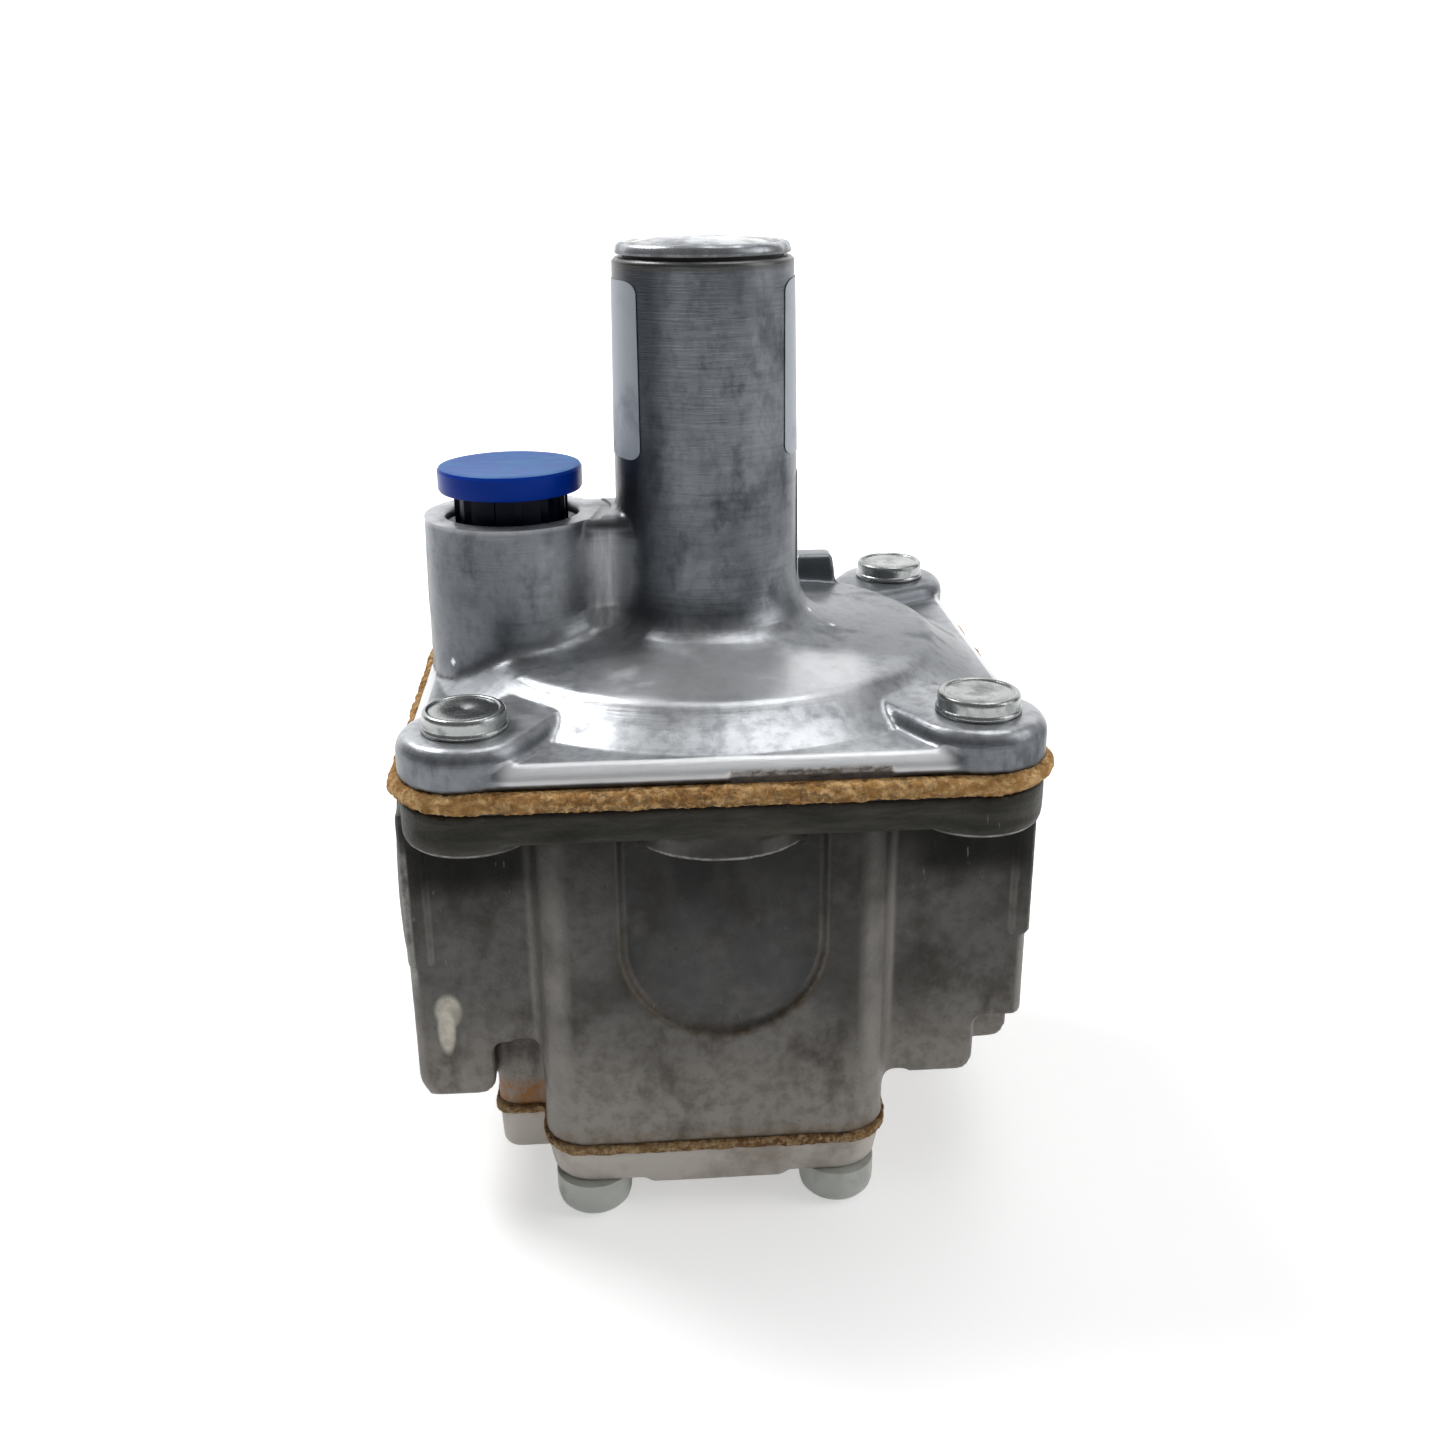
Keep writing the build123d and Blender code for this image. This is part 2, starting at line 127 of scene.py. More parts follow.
def newRod(name, radius, low, high, place=(0, 0), sides=64, axis="Z"):
    # place is where the rod stands in the other two axes
    deselect()
    middle = (low + high) / 2
    spots = {"X": (middle, *place), "Y": (place[0], middle, place[1]), "Z": (*place, middle)}
    turns = {"X": (0, pi / 2, 0), "Y": (pi / 2, 0, 0), "Z": (0, 0, 0)}
    bpy.ops.mesh.primitive_cylinder_add(
        vertices=sides, radius=radius * mm, depth=(high - low) * mm,
        location=[part * mm for part in spots[axis]], rotation=turns[axis])
    return settled(name)


def newPoint(name, x, y, z):
    # a single vertex to extrude, left in edit mode
    deselect()
    bpy.ops.mesh.primitive_plane_add(size=0.1 * mm, location=(x * mm, y * mm, z * mm))
    piece = settled(name)
    edit(piece)
    bpy.ops.mesh.merge(type="CENTER")
    return piece


def extruded(x, y, z):
    bpy.ops.mesh.extrude_vertices_move(TRANSFORM_OT_translate={"value": (x * mm, y * mm, z * mm)})


def shifted(x, y, z):
    bpy.ops.transform.translate(value=(x * mm, y * mm, z * mm))


def turned(name, outline, place=(0, 0), steps=96):
    # an outline of (radius, height) points spun about an upright axis
    radius, height = outline[0]
    piece = newPoint(name, place[0] + radius, place[1], height)
    for (fromRadius, fromHeight), (toRadius, toHeight) in zip(outline, outline[1:]):
        extruded(toRadius - fromRadius, 0, toHeight - fromHeight)
    bpy.ops.mesh.select_all(action="SELECT")
    bpy.ops.mesh.spin(
        steps=steps, angle=2 * pi, center=(place[0] * mm, place[1] * mm, 0), axis=(0, 0, 1))
    bpy.ops.mesh.select_all(action="SELECT")
    bpy.ops.mesh.remove_doubles(threshold=0.002 * mm)
    bpy.ops.mesh.normals_make_consistent(inside=False)
    leave()
    return piece


def spot(part):
    # where a vertex, an edge's middle or a face's middle is
    if isinstance(part, bmesh.types.BMVert):
        return part.co / mm
    if isinstance(part, bmesh.types.BMEdge):
        return (part.verts[0].co + part.verts[1].co) / 2 / mm
    return part.calc_center_median() / mm


def between(part, x=None, y=None, z=None):
    # whether a part lies within these limits; y is counted both forwards and backwards
    place = spot(part)
    limits = ((x, place.x), (y, abs(place.y)), (z, place.z))
    return all(span is None or span[0] < reach < span[1] for span, reach in limits)


def choose(kind, wanted):
    # selects what passes the test, in edit mode
    bpy.ops.mesh.select_mode(type=kind)
    bpy.ops.mesh.select_all(action="DESELECT")
    shape = bmesh.from_edit_mesh(bpy.context.object.data)
    for part in {"VERT": shape.verts, "EDGE": shape.edges, "FACE": shape.faces}[kind]:
        if wanted(part):
            part.select_set(True)
    bmesh.update_edit_mesh(bpy.context.object.data)


def bevelWhere(piece, wanted, width, segments=3):
    edit(piece)
    choose("EDGE", wanted)
    bpy.ops.mesh.bevel(offset=width * mm, segments=segments, affect="EDGES")
    leave()


def upright(edge):
    return abs(edge.verts[0].co.z - edge.verts[1].co.z) > 0.5 * edge.calc_length()


def atHeight(height):
    return lambda edge: all(abs(v.co.z / mm - height) < 0.01 for v in edge.verts)


def softened(piece, wanted, repeat):
    edit(piece)
    choose("VERT", wanted)
    bpy.ops.mesh.vertices_smooth(factor=0.5, repeat=repeat)
    leave()


def narrowed(piece, wanted, scale):
    edit(piece)
    choose("FACE", wanted)
    bpy.ops.transform.resize(value=(*scale, 1))
    leave()


def applied(piece, kind, **values):
    # adds one modifier with these values and applies it
    makeActive(piece)
    modifier = piece.modifiers.new(kind.title(), kind)
    for key, value in values.items():
        setattr(modifier, key, value)
    bpy.ops.object.modifier_apply(modifier=modifier.name)


def joined(name, parts):
    makeActive(parts[0])
    for part in parts:
        part.select_set(True)
    bpy.ops.object.join()
    parts[0].name = name
    return parts[0]


def boolean(piece, tool, operation="DIFFERENCE", solver="EXACT"):
    # the exact solver cuts plain shapes, the manifold one cuts remeshed skins
    applied(piece, "BOOLEAN", operation=operation, solver=solver, use_self=solver == "EXACT", object=tool)
    bpy.data.objects.remove(tool)


def cutEach(piece, tools):
    for tool in tools:
        boolean(piece, tool, solver="MANIFOLD")


def fused(piece, voxel, calm=0):
    # overlapping solids become one even skin, with soft seams where calm is asked for
    applied(piece, "REMESH", mode="VOXEL", voxel_size=voxel * mm)
    if calm:
        softened(piece, lambda vert: True, calm)


def roughened(piece, name, size, strength):
    grain = bpy.data.textures.new(name, "CLOUDS")
    grain.noise_scale = size * mm
    applied(piece, "DISPLACE", texture=grain, strength=strength * mm, mid_level=0.5)


def hulled(name, parts):
    # the tight skin round some simple solids
    piece = joined(name, parts)
    edit(piece)
    bpy.ops.mesh.convex_hull()
    leave()
    return piece


def copied(piece, name, move=(0, 0, 0)):
    copy = bpy.data.objects.new(name, piece.data.copy())
    bpy.context.scene.collection.objects.link(copy)
    if any(move):
        edit(copy)
        shifted(*move)
        leave()
    return copy


def planBox(kind, name, low, high, grow=0.0):
    # the block or the lobe between two levels, grown outwards
    shape = plan[kind]
    left, front = shape["left"] - grow, shape["front"] + grow
    right = shape["right"] + (grow if kind == "block" else 0)
    piece = newBox(name, (left, -front, low), (right, front, high))
    bevelWhere(piece, upright, shape["corner"] + grow, shape["steps"])
    return piece


def bothSides(near, far):
    # a span that is in front and its mirror image behind, each as low and high
    return (-far, -near), (near, far)


def corners(x, y):
    return [(a * x, b * y) for a in (-1, 1) for b in (-1, 1)]


def smoothShaded(piece, angle=None):
    makeActive(piece)
    if angle is None:
        bpy.ops.object.shade_smooth()
    else:
        bpy.ops.object.shade_smooth_by_angle(angle=radians(angle))


def finished(piece, look, body, node=None, angle=50):
    # one material all over, its body, its finish in the record and the CAD node it stands for
    smoothShaded(piece, angle)
    piece.data.materials.clear()
    piece.data.materials.append(looks[look])
    for face in piece.data.polygons:
        face.material_index = 0
    if body:
        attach(piece, body)
    if node:
        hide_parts(node)


def triangleCount(piece):
    return sum(len(face.vertices) - 2 for face in piece.data.polygons)


# steps for shader trees; places are in millimetres and turned to metres for the nodes
def addNode(tree, kind, **values):
    node = tree.nodes.new(kind)
    for key, value in values.items():
        if hasattr(node, key):
            setattr(node, key, value)
        else:
            node.inputs[key.replace("_", " ")].default_value = value
    return node


def fed(tree, socket, end):
    # an input takes another node's output, or a plain value
    if isinstance(end, bpy.types.NodeSocket):
        tree.links.new(end, socket)
    else:
        socket.default_value = end


def mathStep(tree, operation, *ends):
    node = addNode(tree, "ShaderNodeMath", operation=operation)
    for socket, end in zip(node.inputs, ends):
        fed(tree, socket, end)
    return node.outputs[0]


def vectorStep(tree, operation, *ends):
    node = addNode(tree, "ShaderNodeVectorMath", operation=operation)
    for socket, end in zip(node.inputs, ends):
        fed(tree, socket, end)
    return node.outputs["Value" if operation == "LENGTH" else "Vector"]


def ramped(tree, value, low, high):
    # 0 at low and 1 at high, with soft ends
    node = addNode(tree, "ShaderNodeMapRange", interpolation_type="SMOOTHSTEP")
    for label, end in (("Value", value), ("From Min", low), ("From Max", high)):
        fed(tree, node.inputs[label], end)
    return node.outputs["Result"]


def axisOf(tree, vector, axis):
    split = addNode(tree, "ShaderNodeSeparateXYZ")
    tree.links.new(vector, split.inputs[0])
    return split.outputs[axis]


def mixed(tree, amount, first, second, kind="RGBA"):
    # a mix whose ends are colours, values or other nodes' outputs
    node = addNode(tree, "ShaderNodeMix", data_type=kind)
    low, high = (6, 7) if kind == "RGBA" else (2, 3)
    for index, end in ((0, amount), (low, first), (high, second)):
        fed(tree, node.inputs[index], end)
    return node.outputs[2 if kind == "RGBA" else 0]


def levelled(tree, amount, low, high):
    # a value between low and high
    return mixed(tree, amount, low, high, "FLOAT")


def painted(tree, colour, shade, *masks):
    # another colour laid over the first where every mask lets it through
    amount = masks[0]
    for mask in masks[1:]:
        amount = mathStep(tree, "MULTIPLY", amount, mask)
    return mixed(tree, amount, colour, shade)


def newGroup(name, inputs, outputs):
    group = bpy.data.node_groups.new(name, "ShaderNodeTree")
    for label, kind, value in inputs:
        socket = group.interface.new_socket(label, in_out="INPUT", socket_type="NodeSocket" + kind)
        socket.default_value = value
    for label in outputs:
        group.interface.new_socket(label, in_out="OUTPUT", socket_type="NodeSocketFloat")
    start = group.nodes.new("NodeGroupInput")
    end = group.nodes.new("NodeGroupOutput")
    return group, start.outputs, end.inputs


def makePatchesGroup():
    # soft blotches between two thresholds, stretched along the axes
    group, start, end = newGroup(
        "patches",
        [("Position", "Vector", (0, 0, 0)), ("Stretch", "Vector", (1, 1, 1)), ("Scale", "Float", 100.0),
         ("Low", "Float", 0.4), ("High", "Float", 0.6)],
        ["Mask"])
    noise = addNode(group, "ShaderNodeTexNoise", Detail=6.0, Roughness=0.62)
    fed(group, noise.inputs["Vector"], vectorStep(group, "MULTIPLY", start["Position"], start["Stretch"]))
    fed(group, noise.inputs["Scale"], start["Scale"])
    fed(group, end["Mask"], ramped(group, noise.outputs["Fac"], start["Low"], start["High"]))
    return group


def makeEdgesGroup():
    # masks for bright outer edges, partly wear and partly painted highlight, for darkness in the hollows
    # from ambient occlusion, partly grime and partly painted shade, and for painted highlights in sharp
    # creases
    group, start, end = newGroup(
        "edgesAndHollows",
        [("Reach", "Float", 0.002), ("Bare", "Float", 0.55), ("Deep", "Float", 0.85)],
        ["Worn", "GrimeAndShade", "CreaseGlint"])
    limits = {"worn": 0.66, "creaseStart": 0.475, "creaseFull": 0.43, "grimeAndShade": 0.35}
    bend = addNode(group, "ShaderNodeNewGeometry").outputs["Pointiness"]
    shade = addNode(group, "ShaderNodeAmbientOcclusion", samples=8)
    fed(group, shade.inputs["Distance"], start["Reach"])
    fed(group, end["Worn"], ramped(group, bend, start["Bare"], limits["worn"]))
    fed(group, end["GrimeAndShade"], ramped(group, shade.outputs["AO"], start["Deep"], limits["grimeAndShade"]))
    fed(group, end["CreaseGlint"], ramped(group, bend, limits["creaseStart"], limits["creaseFull"]))
    return group


groups = {"patches": makePatchesGroup(), "edges": makeEdgesGroup()}


def placeGroup(tree, label, **values):
    node = addNode(tree, "ShaderNodeGroup")
    node.node_tree = groups[label]
    for key, value in values.items():
        fed(tree, node.inputs[key], value)
    return node.outputs


def patches(tree, place, scale, low, high, stretch=(1, 1, 1)):
    outputs = placeGroup(tree, "patches", Position=place, Scale=scale, Low=low, High=high, Stretch=stretch)
    return outputs["Mask"]


def heightMask(tree, place, low, high):
    # 0 below low and 1 above high
    return ramped(tree, axisOf(tree, place, "Z"), low * mm, high * mm)


def boxMask(tree, place, low, high, edge):
    # 1 inside a box, fading out over the edge width
    middle = [(a + b) / 2 * mm for a, b in zip(low, high)]
    half = [(b - a) / 2 * mm for a, b in zip(low, high)]
    size = vectorStep(tree, "ABSOLUTE", vectorStep(tree, "SUBTRACT", place, middle))
    outside = vectorStep(tree, "MAXIMUM", vectorStep(tree, "SUBTRACT", size, half), (0, 0, 0))
    return ramped(tree, vectorStep(tree, "LENGTH", outside), edge * mm, 0.0)


def dropMask(tree, place, centre, size):
    # 1 in the middle of an ellipsoid, fading to its skin
    away = vectorStep(tree, "SUBTRACT", place, [part * mm for part in centre])
    away = vectorStep(tree, "DIVIDE", away, [part * mm for part in size])
    return ramped(tree, vectorStep(tree, "LENGTH", away), 1.0, 0.6)


def mirrored(tree, place, scale=(1, 1, 1)):
    # the place folded onto one quarter of the object, and scaled
    return vectorStep(tree, "MULTIPLY", vectorStep(tree, "ABSOLUTE", place), scale)


def upwardMask(tree, low, high):
    # 0 where the surface's upward lean is below low, and 1 above high
    normal = addNode(tree, "ShaderNodeNewGeometry").outputs["Normal"]
    return ramped(tree, axisOf(tree, normal, "Z"), low, high)


def cornerMask(tree, low, high):
    # 1 where an upright surface faces halfway between the sides and the front or rear
    size = vectorStep(tree, "ABSOLUTE", addNode(tree, "ShaderNodeNewGeometry").outputs["Normal"])
    both = mathStep(tree, "MULTIPLY", axisOf(tree, size, "X"), axisOf(tree, size, "Y"))
    return ramped(tree, both, low, high)


def arcMask(tree, place, arc):
    # a thin band along the U-shaped pockets, in front and behind
    across = mathStep(tree, "SUBTRACT", axisOf(tree, place, "X"), arc["x"] * mm)
    below = mathStep(tree, "SUBTRACT", axisOf(tree, place, "Z"), arc["height"] * mm)
    below = mathStep(tree, "MINIMUM", below, 0.0)
    squares = [mathStep(tree, "MULTIPLY", side, side) for side in (across, below)]
    reach = mathStep(tree, "SQRT", mathStep(tree, "ADD", *squares))
    gap = mathStep(tree, "ABSOLUTE", mathStep(tree, "SUBTRACT", reach, arc["radius"] * mm))
    depth = mathStep(tree, "ABSOLUTE", axisOf(tree, place, "Y"))
    outer = mathStep(tree, "GREATER_THAN", depth, arc["depth"] * mm)
    return mathStep(tree, "MULTIPLY", ramped(tree, gap, arc["width"] * mm, 0.0), outer)


def newMaterial(name, **values):
    material = bpy.data.materials.new(name)
    material.use_nodes = True
    shader = material.node_tree.nodes["Principled BSDF"]
    for key, value in values.items():
        shader.inputs[key.replace("_", " ")].default_value = value
    place = addNode(material.node_tree, "ShaderNodeTexCoord").outputs["Object"]
    return material, material.node_tree, shader, place


def coated(tree, shader, colour, rough, height, depth, strength):
    # colour, roughness and a bump whose depth is in millimetres
    fed(tree, shader.inputs["Base Color"], colour)
    fed(tree, shader.inputs["Roughness"], rough)
    bump = addNode(tree, "ShaderNodeBump", Strength=strength, Distance=depth * mm)
    fed(tree, bump.inputs["Height"], height)
    fed(tree, shader.inputs["Normal"], bump.outputs["Normal"])


def brightCasting():
    # smooth aluminium, dark and mottled on the upright walls and brighter where it faces up, a split by
    # facing that is painted light
    look = {
        "wall": (0.095, 0.105, 0.118, 1), "wallPale": (0.190, 0.204, 0.221, 1),
        "wallDark": (0.022, 0.026, 0.034, 1), "top": (0.37, 0.385, 0.405, 1),
        "topPale": (0.52, 0.535, 0.555, 1), "topDark": (0.15, 0.163, 0.185, 1),
        "edge": (0.88, 0.89, 0.91, 1), "grimeAndShade": (0.05, 0.045, 0.042, 1), "gate": (0.17, 0.145, 0.125, 1),
        "foot": (0.06, 0.055, 0.05, 1), "metallic": 0.74, "edgeMetallic": 0.3,
    }
    # painted shade and painted highlights: each mark is a box's two corners, how far it fades, its strength
    # and its colour; towerLeft, bossLeft, domeRight and webLeft are painted shade, webFoot and domeFront are
    # painted highlights
    marks = {
        "towerLeft": ((-14, -14, 80), (-8, 4, 124), 4.5, 0.8, "wallDark"),
        "bossLeft": ((-39, -13, 74), (-31, 2, 88), 6, 0.35, "wallDark"),
        "domeRight": ((14, -14, 71), (34, 30, 77), 8, 0.72, "wall"),
        "webFoot": ((-21.5, -12.5, 75), (-13, -6, 88.5), 4.5, 0.34, "top"),
        "webLeft": ((-19, -12.5, 80), (-17, -4, 89), 2, 0.22, "wallDark"),
        "domeFront": ((-14, -29, 75.4), (17, -18, 77), 4.5, 0.5, "edge"),
    }
    # painted highlights: a streaky bright line down the web's front, and a bright spot at the corner of its
    # foot
    webHighlights = {
        "webLine": ((-15, -11, 80), (-14, -3, 89.5), 2.2, 0.3),
        "webCorner": ((-15, -10.5, 77.8), (-13.6, -7, 79), 2.4, 0.55),
    }
    material, tree, shader, place = newMaterial("brightCasting")
    broad = patches(tree, place, 46, 0.36, 0.64)
    mottle = patches(tree, place, 170, 0.50, 0.70, (1, 1, 0.6))
    fine = patches(tree, place, 620, 0.42, 0.66, (1, 1, 0.7))
    brushing = patches(tree, place, 420, 0.42, 0.72, (0.25, 0.25, 3.6))
    wall = mixed(tree, broad, look["wall"], look["wallPale"])
    wall = painted(tree, wall, look["wallDark"], mottle, 0.6)
    top = mixed(tree, broad, look["topPale"], look["top"])
    top = painted(tree, top, look["topDark"], mottle, 0.36)
    # painted light: faces that look up take the brighter top colours, upright walls the darker wall colours
    colour = mixed(tree, upwardMask(tree, 0.25, 0.85), wall, top)
    colour = painted(tree, colour, look["wallDark"], fine, 0.28)
    tower = boxMask(tree, place, (-13, -13.5, 82), (13.5, 13.5, 126), 3)
    colour = painted(tree, colour, look["wallDark"], brushing, levelled(tree, tower, 0.08, 0.28))
    # lays on the painted shade and painted highlights
    for low, high, edge, amount, shade in marks.values():
        colour = painted(tree, colour, look[shade], boxMask(tree, place, low, high, edge), amount)
    lines = levelled(tree, patches(tree, place, 420, 0.30, 0.75, (2.4, 2.4, 0.3)), 0.4, 1.0)
    for low, high, edge, amount in webHighlights.values():
        colour = painted(tree, colour, look["edge"], boxMask(tree, place, low, high, edge), lines, amount)
    # darker in the hollows from ambient occlusion, partly grime and partly painted shade
    edges = placeGroup(tree, "edges", Reach=0.0022, Bare=0.53, Deep=0.6)
    colour = painted(tree, colour, look["grimeAndShade"], edges["GrimeAndShade"], 0.35)
    # painted highlights on outer edges, which are partly wear, and in the creases, up to the foot of the
    # tower only
    low = heightMask(tree, place, 79, 77.5)
    colour = painted(tree, colour, look["edge"], edges["Worn"], low, 0.75)
    colour = painted(tree, colour, look["edge"], edges["CreaseGlint"], low, 0.7)
    # painted highlights on the flange's bevels, which are also made less metallic below so they show
    # brighter, and a paler faced rim on the vent boss, partly its machined finish and partly painted
    # highlight
    along = boxMask(tree, mirrored(tree, place, (0.12, 1, 1)), (0, 38.4, 68), (3.1, 40.2, 70.4), 0.3)
    across = boxMask(tree, mirrored(tree, place, (1, 0.12, 1)), (38.4, 0, 68), (40.2, 3.1, 70.4), 0.3)
    rim = boxMask(tree, place, (-39, -12.5, 92), (-12.9, 12.5, 92.5), 0.9)
    for mask, amount in ((along, 0.75), (across, 0.75), (rim, 0.2)):
        colour = painted(tree, colour, look["edge"], mask, amount)
    # dark lines above the gasket and below the cap, and the rough broken gate
    colour = painted(tree, colour, look["foot"], heightMask(tree, place, 67.8, 67.2), 0.75)
    colour = painted(tree, colour, look["foot"], heightMask(tree, place, 123.6, 124.4), 0.65)
    gate = boxMask(tree, place, (0.4, -41, 67), (19.4, -38.8, 68.5), 0.5)
    crumbs = levelled(tree, patches(tree, place, 900, 0.40, 0.62), 0.35, 0.95)
    colour = painted(tree, colour, look["gate"], gate, crumbs)
    # the bevels' painted highlights are less metallic, so they show brighter
    metal = levelled(tree, across, look["metallic"], look["edgeMetallic"])
    fed(tree, shader.inputs["Metallic"], levelled(tree, along, metal, look["edgeMetallic"]))
    rough = levelled(tree, gate, levelled(tree, mottle, 0.33, 0.52), 0.75)
    coated(tree, shader, colour, rough, patches(tree, place, 1400, 0.2, 0.8, (0.15, 0.15, 3.2)), 0.04, 0.4)
    return material


def dullCasting():
    # raw die-cast aluminium, browned by handling, with painted shade that makes it darkest under the flange
    # and painted light that makes it paler towards its foot
    look = {
        "grey": (0.066, 0.064, 0.060, 1), "pale": (0.138, 0.133, 0.126, 1),
        "brown": (0.042, 0.036, 0.029, 1), "foot": (0.36, 0.335, 0.300, 1),
        "shade": (0.005, 0.005, 0.004, 1), "flange": (0.023, 0.023, 0.018, 1),
        "flangePale": (0.058, 0.056, 0.046, 1), "dirt": (0.085, 0.058, 0.033, 1),
        "rust": (0.33, 0.14, 0.035, 1),
        "stain": (0.20, 0.145, 0.085, 1), "edge": (0.38, 0.37, 0.35, 1), "grimeAndShade": (0.024, 0.018, 0.012, 1),
        "scratch": (0.33, 0.33, 0.33, 1), "scuff": (0.66, 0.62, 0.53, 1), "bowl": (0.060, 0.063, 0.068, 1),
        "cornerSheen": (0.27, 0.255, 0.235, 1), "bright": (0.74, 0.72, 0.68, 1),
        "pocket": {"x": -0.5, "height": 42.0, "radius": 13.2, "width": 1.0, "depth": 30.0},
    }
    material, tree, shader, place = newMaterial("dullCasting", Metallic=0.3, Specular_IOR_Level=0.15)
    quarter = mirrored(tree, place)
    stains = patches(tree, place, 120, 0.48, 0.68, (1, 1, 0.6))
    colour = mixed(tree, patches(tree, place, 52, 0.36, 0.64), look["grey"], look["pale"])
    # painted light: paler towards the foot, as if lit from the floor
    colour = painted(tree, colour, look["foot"], heightMask(tree, place, 36, 14), 0.75)
    colour = painted(tree, colour, look["brown"], stains, 0.6)
    colour = painted(tree, colour, look["brown"], patches(tree, place, 520, 0.40, 0.68), 0.35)
    # bluer in the pockets, and a paler painted highlight on the upright corners of the block
    ragged = levelled(tree, patches(tree, place, 520, 0.35, 0.65), 0.25, 1.0)
    bowl = boxMask(tree, quarter, (0, 32.5, 30), (13, 33.7, 60), 0.8)
    bluer = levelled(tree, patches(tree, place, 150, 0.36, 0.62), 0.15, 0.6)
    colour = painted(tree, colour, look["bowl"], bowl, bluer)
    pale = levelled(tree, patches(tree, place, 90, 0.34, 0.60), 0.35, 1.0)
    pockets = boxMask(tree, quarter, (0, 30, 20), (15.5, 36, 60), 0.8)
    colour = painted(
        tree, colour, look["cornerSheen"], cornerMask(tree, 0.18, 0.46), pale, levelled(tree, pockets, 0.85, 0.4))
    # painted shade under the flange and a painted shadow of the ears on the wings, and a streaky band round
    # the flange's edge
    under = placeGroup(tree, "edges", Reach=0.013, Bare=0.53, Deep=0.80)
    high = heightMask(tree, place, 40, 55)
    earShadow = boxMask(tree, quarter, (28, 27, 51), (38.5, 29.5, 60), 4.5)
    colour = painted(tree, colour, look["shade"], high, 0.6)
    colour = painted(tree, colour, look["shade"], under["GrimeAndShade"], high, 0.95)
    colour = painted(tree, colour, look["shade"], earShadow, 0.88)
    band = patches(tree, place, 160, 0.36, 0.66, (0.5, 0.5, 3.0))
    band = mixed(tree, band, look["flange"], look["flangePale"])
    colour = painted(tree, colour, band, heightMask(tree, place, 59, 60.2), 0.9)
    colour = painted(tree, colour, look["shade"], patches(tree, place, 1100, 0.60, 0.74), 0.25)
    # darker in the creases from ambient occlusion, partly grime and partly painted shade
    edges = placeGroup(tree, "edges", Reach=0.0045, Bare=0.518, Deep=0.82)
    colour = painted(tree, colour, look["grimeAndShade"], edges["GrimeAndShade"], 0.8)
    # brown dirt along the pockets' lower rims, and the gasket's stains above the cover
    rim, low = arcMask(tree, place, look["pocket"]), heightMask(tree, place, 52, 34)
    colour = painted(tree, colour, look["dirt"], rim, low, ragged, 0.8)
    colour = painted(tree, colour, look["stain"], heightMask(tree, place, 15, 12.4), ragged, 0.7)
    lobeRust = boxMask(tree, place, (-34, -26, 11.5), (-23.5, 26, 15), 2.2)
    colour = painted(tree, colour, look["rust"], lobeRust, ragged, 0.95)
    # bright outer edges, partly wear and partly painted highlight
    colour = painted(tree, colour, look["edge"], edges["Worn"], 0.65)
    # painted highlights: bright lines on the lower rims of the ears and lips, and down the wings' outer
    # corners
    earRims = boxMask(tree, quarter, (24, 30, 58.3), (41, 41, 58.8), 0.3)
    lipRims = boxMask(tree, quarter, (0, 35.2, 56.3), (11.5, 40.2, 56.8), 0.3)
    wingRims = boxMask(tree, mirrored(tree, place, (1, 1, 0.1)), (41, 27.7, 3.6), (42.5, 29.5, 5.3), 0.4)
    side = upwardMask(tree, -0.85, -0.4)
    for rims, amount in ((earRims, 0.9), (lipRims, 0.5), (wingRims, 0.32)):
        colour = painted(tree, colour, look["bright"], rims, ragged, side, amount)
    scratches = patches(tree, place, 900, 0.67, 0.74, (2.6, 1, 0.35))
    colour = painted(tree, colour, look["scratch"], scratches, 0.45)
    for centre, size in (((-37.2, -28.5, 30.6), (2.1, 10, 3.0)), ((-37.6, -28.5, 27.8), (1.4, 10, 4.4))):
        scuff = dropMask(tree, place, centre, size)
        colour = painted(tree, colour, look["scuff"], scuff, levelled(tree, ragged, 0.3, 0.85))
    rough = levelled(tree, stains, 0.45, 0.62)
    coated(tree, shader, colour, rough, patches(tree, place, 2200, 0.25, 0.75), 0.06, 0.8)
    return material


def wornMetal(name, base, dark, metallic, roughness, scale=220.0):
    # plated, machined or moulded surface with light handling marks
    material, tree, shader, place = newMaterial(name, Metallic=metallic)
    marks = patches(tree, place, scale, 0.45, 0.72)
    rough = levelled(tree, marks, roughness, roughness + 0.2)
    colour = mixed(tree, marks, base, dark)
    coated(tree, shader, colour, rough, patches(tree, place, scale * 6, 0.2, 0.8), 0.02, 0.5)
    return material


def turnedCap():
    # polished lid with dirt round its rim and below it
    look = {
        "pale": (0.50, 0.52, 0.54, 1), "smudge": (0.15, 0.16, 0.175, 1), "dirt": (0.045, 0.045, 0.048, 1)}
    material, tree, shader, place = newMaterial("turnedCap", Metallic=0.92)
    marks = patches(tree, place, 150, 0.42, 0.66)
    colour = painted(tree, look["pale"], look["smudge"], marks, 0.85)
    reach = vectorStep(tree, "LENGTH", vectorStep(tree, "MULTIPLY", place, (1, 1, 0)))
    groove = [ramped(tree, reach, low * mm, high * mm) for low, high in ((8.8, 9.6), (10.4, 9.9))]
    colour = painted(tree, colour, look["dirt"], *groove, 0.8)
    colour = painted(tree, colour, look["dirt"], heightMask(tree, place, 126.3, 125.8), 0.8)
    rough = levelled(tree, marks, 0.2, 0.42)
    coated(tree, shader, colour, rough, patches(tree, place, 900, 0.2, 0.8), 0.02, 0.5)
    return material


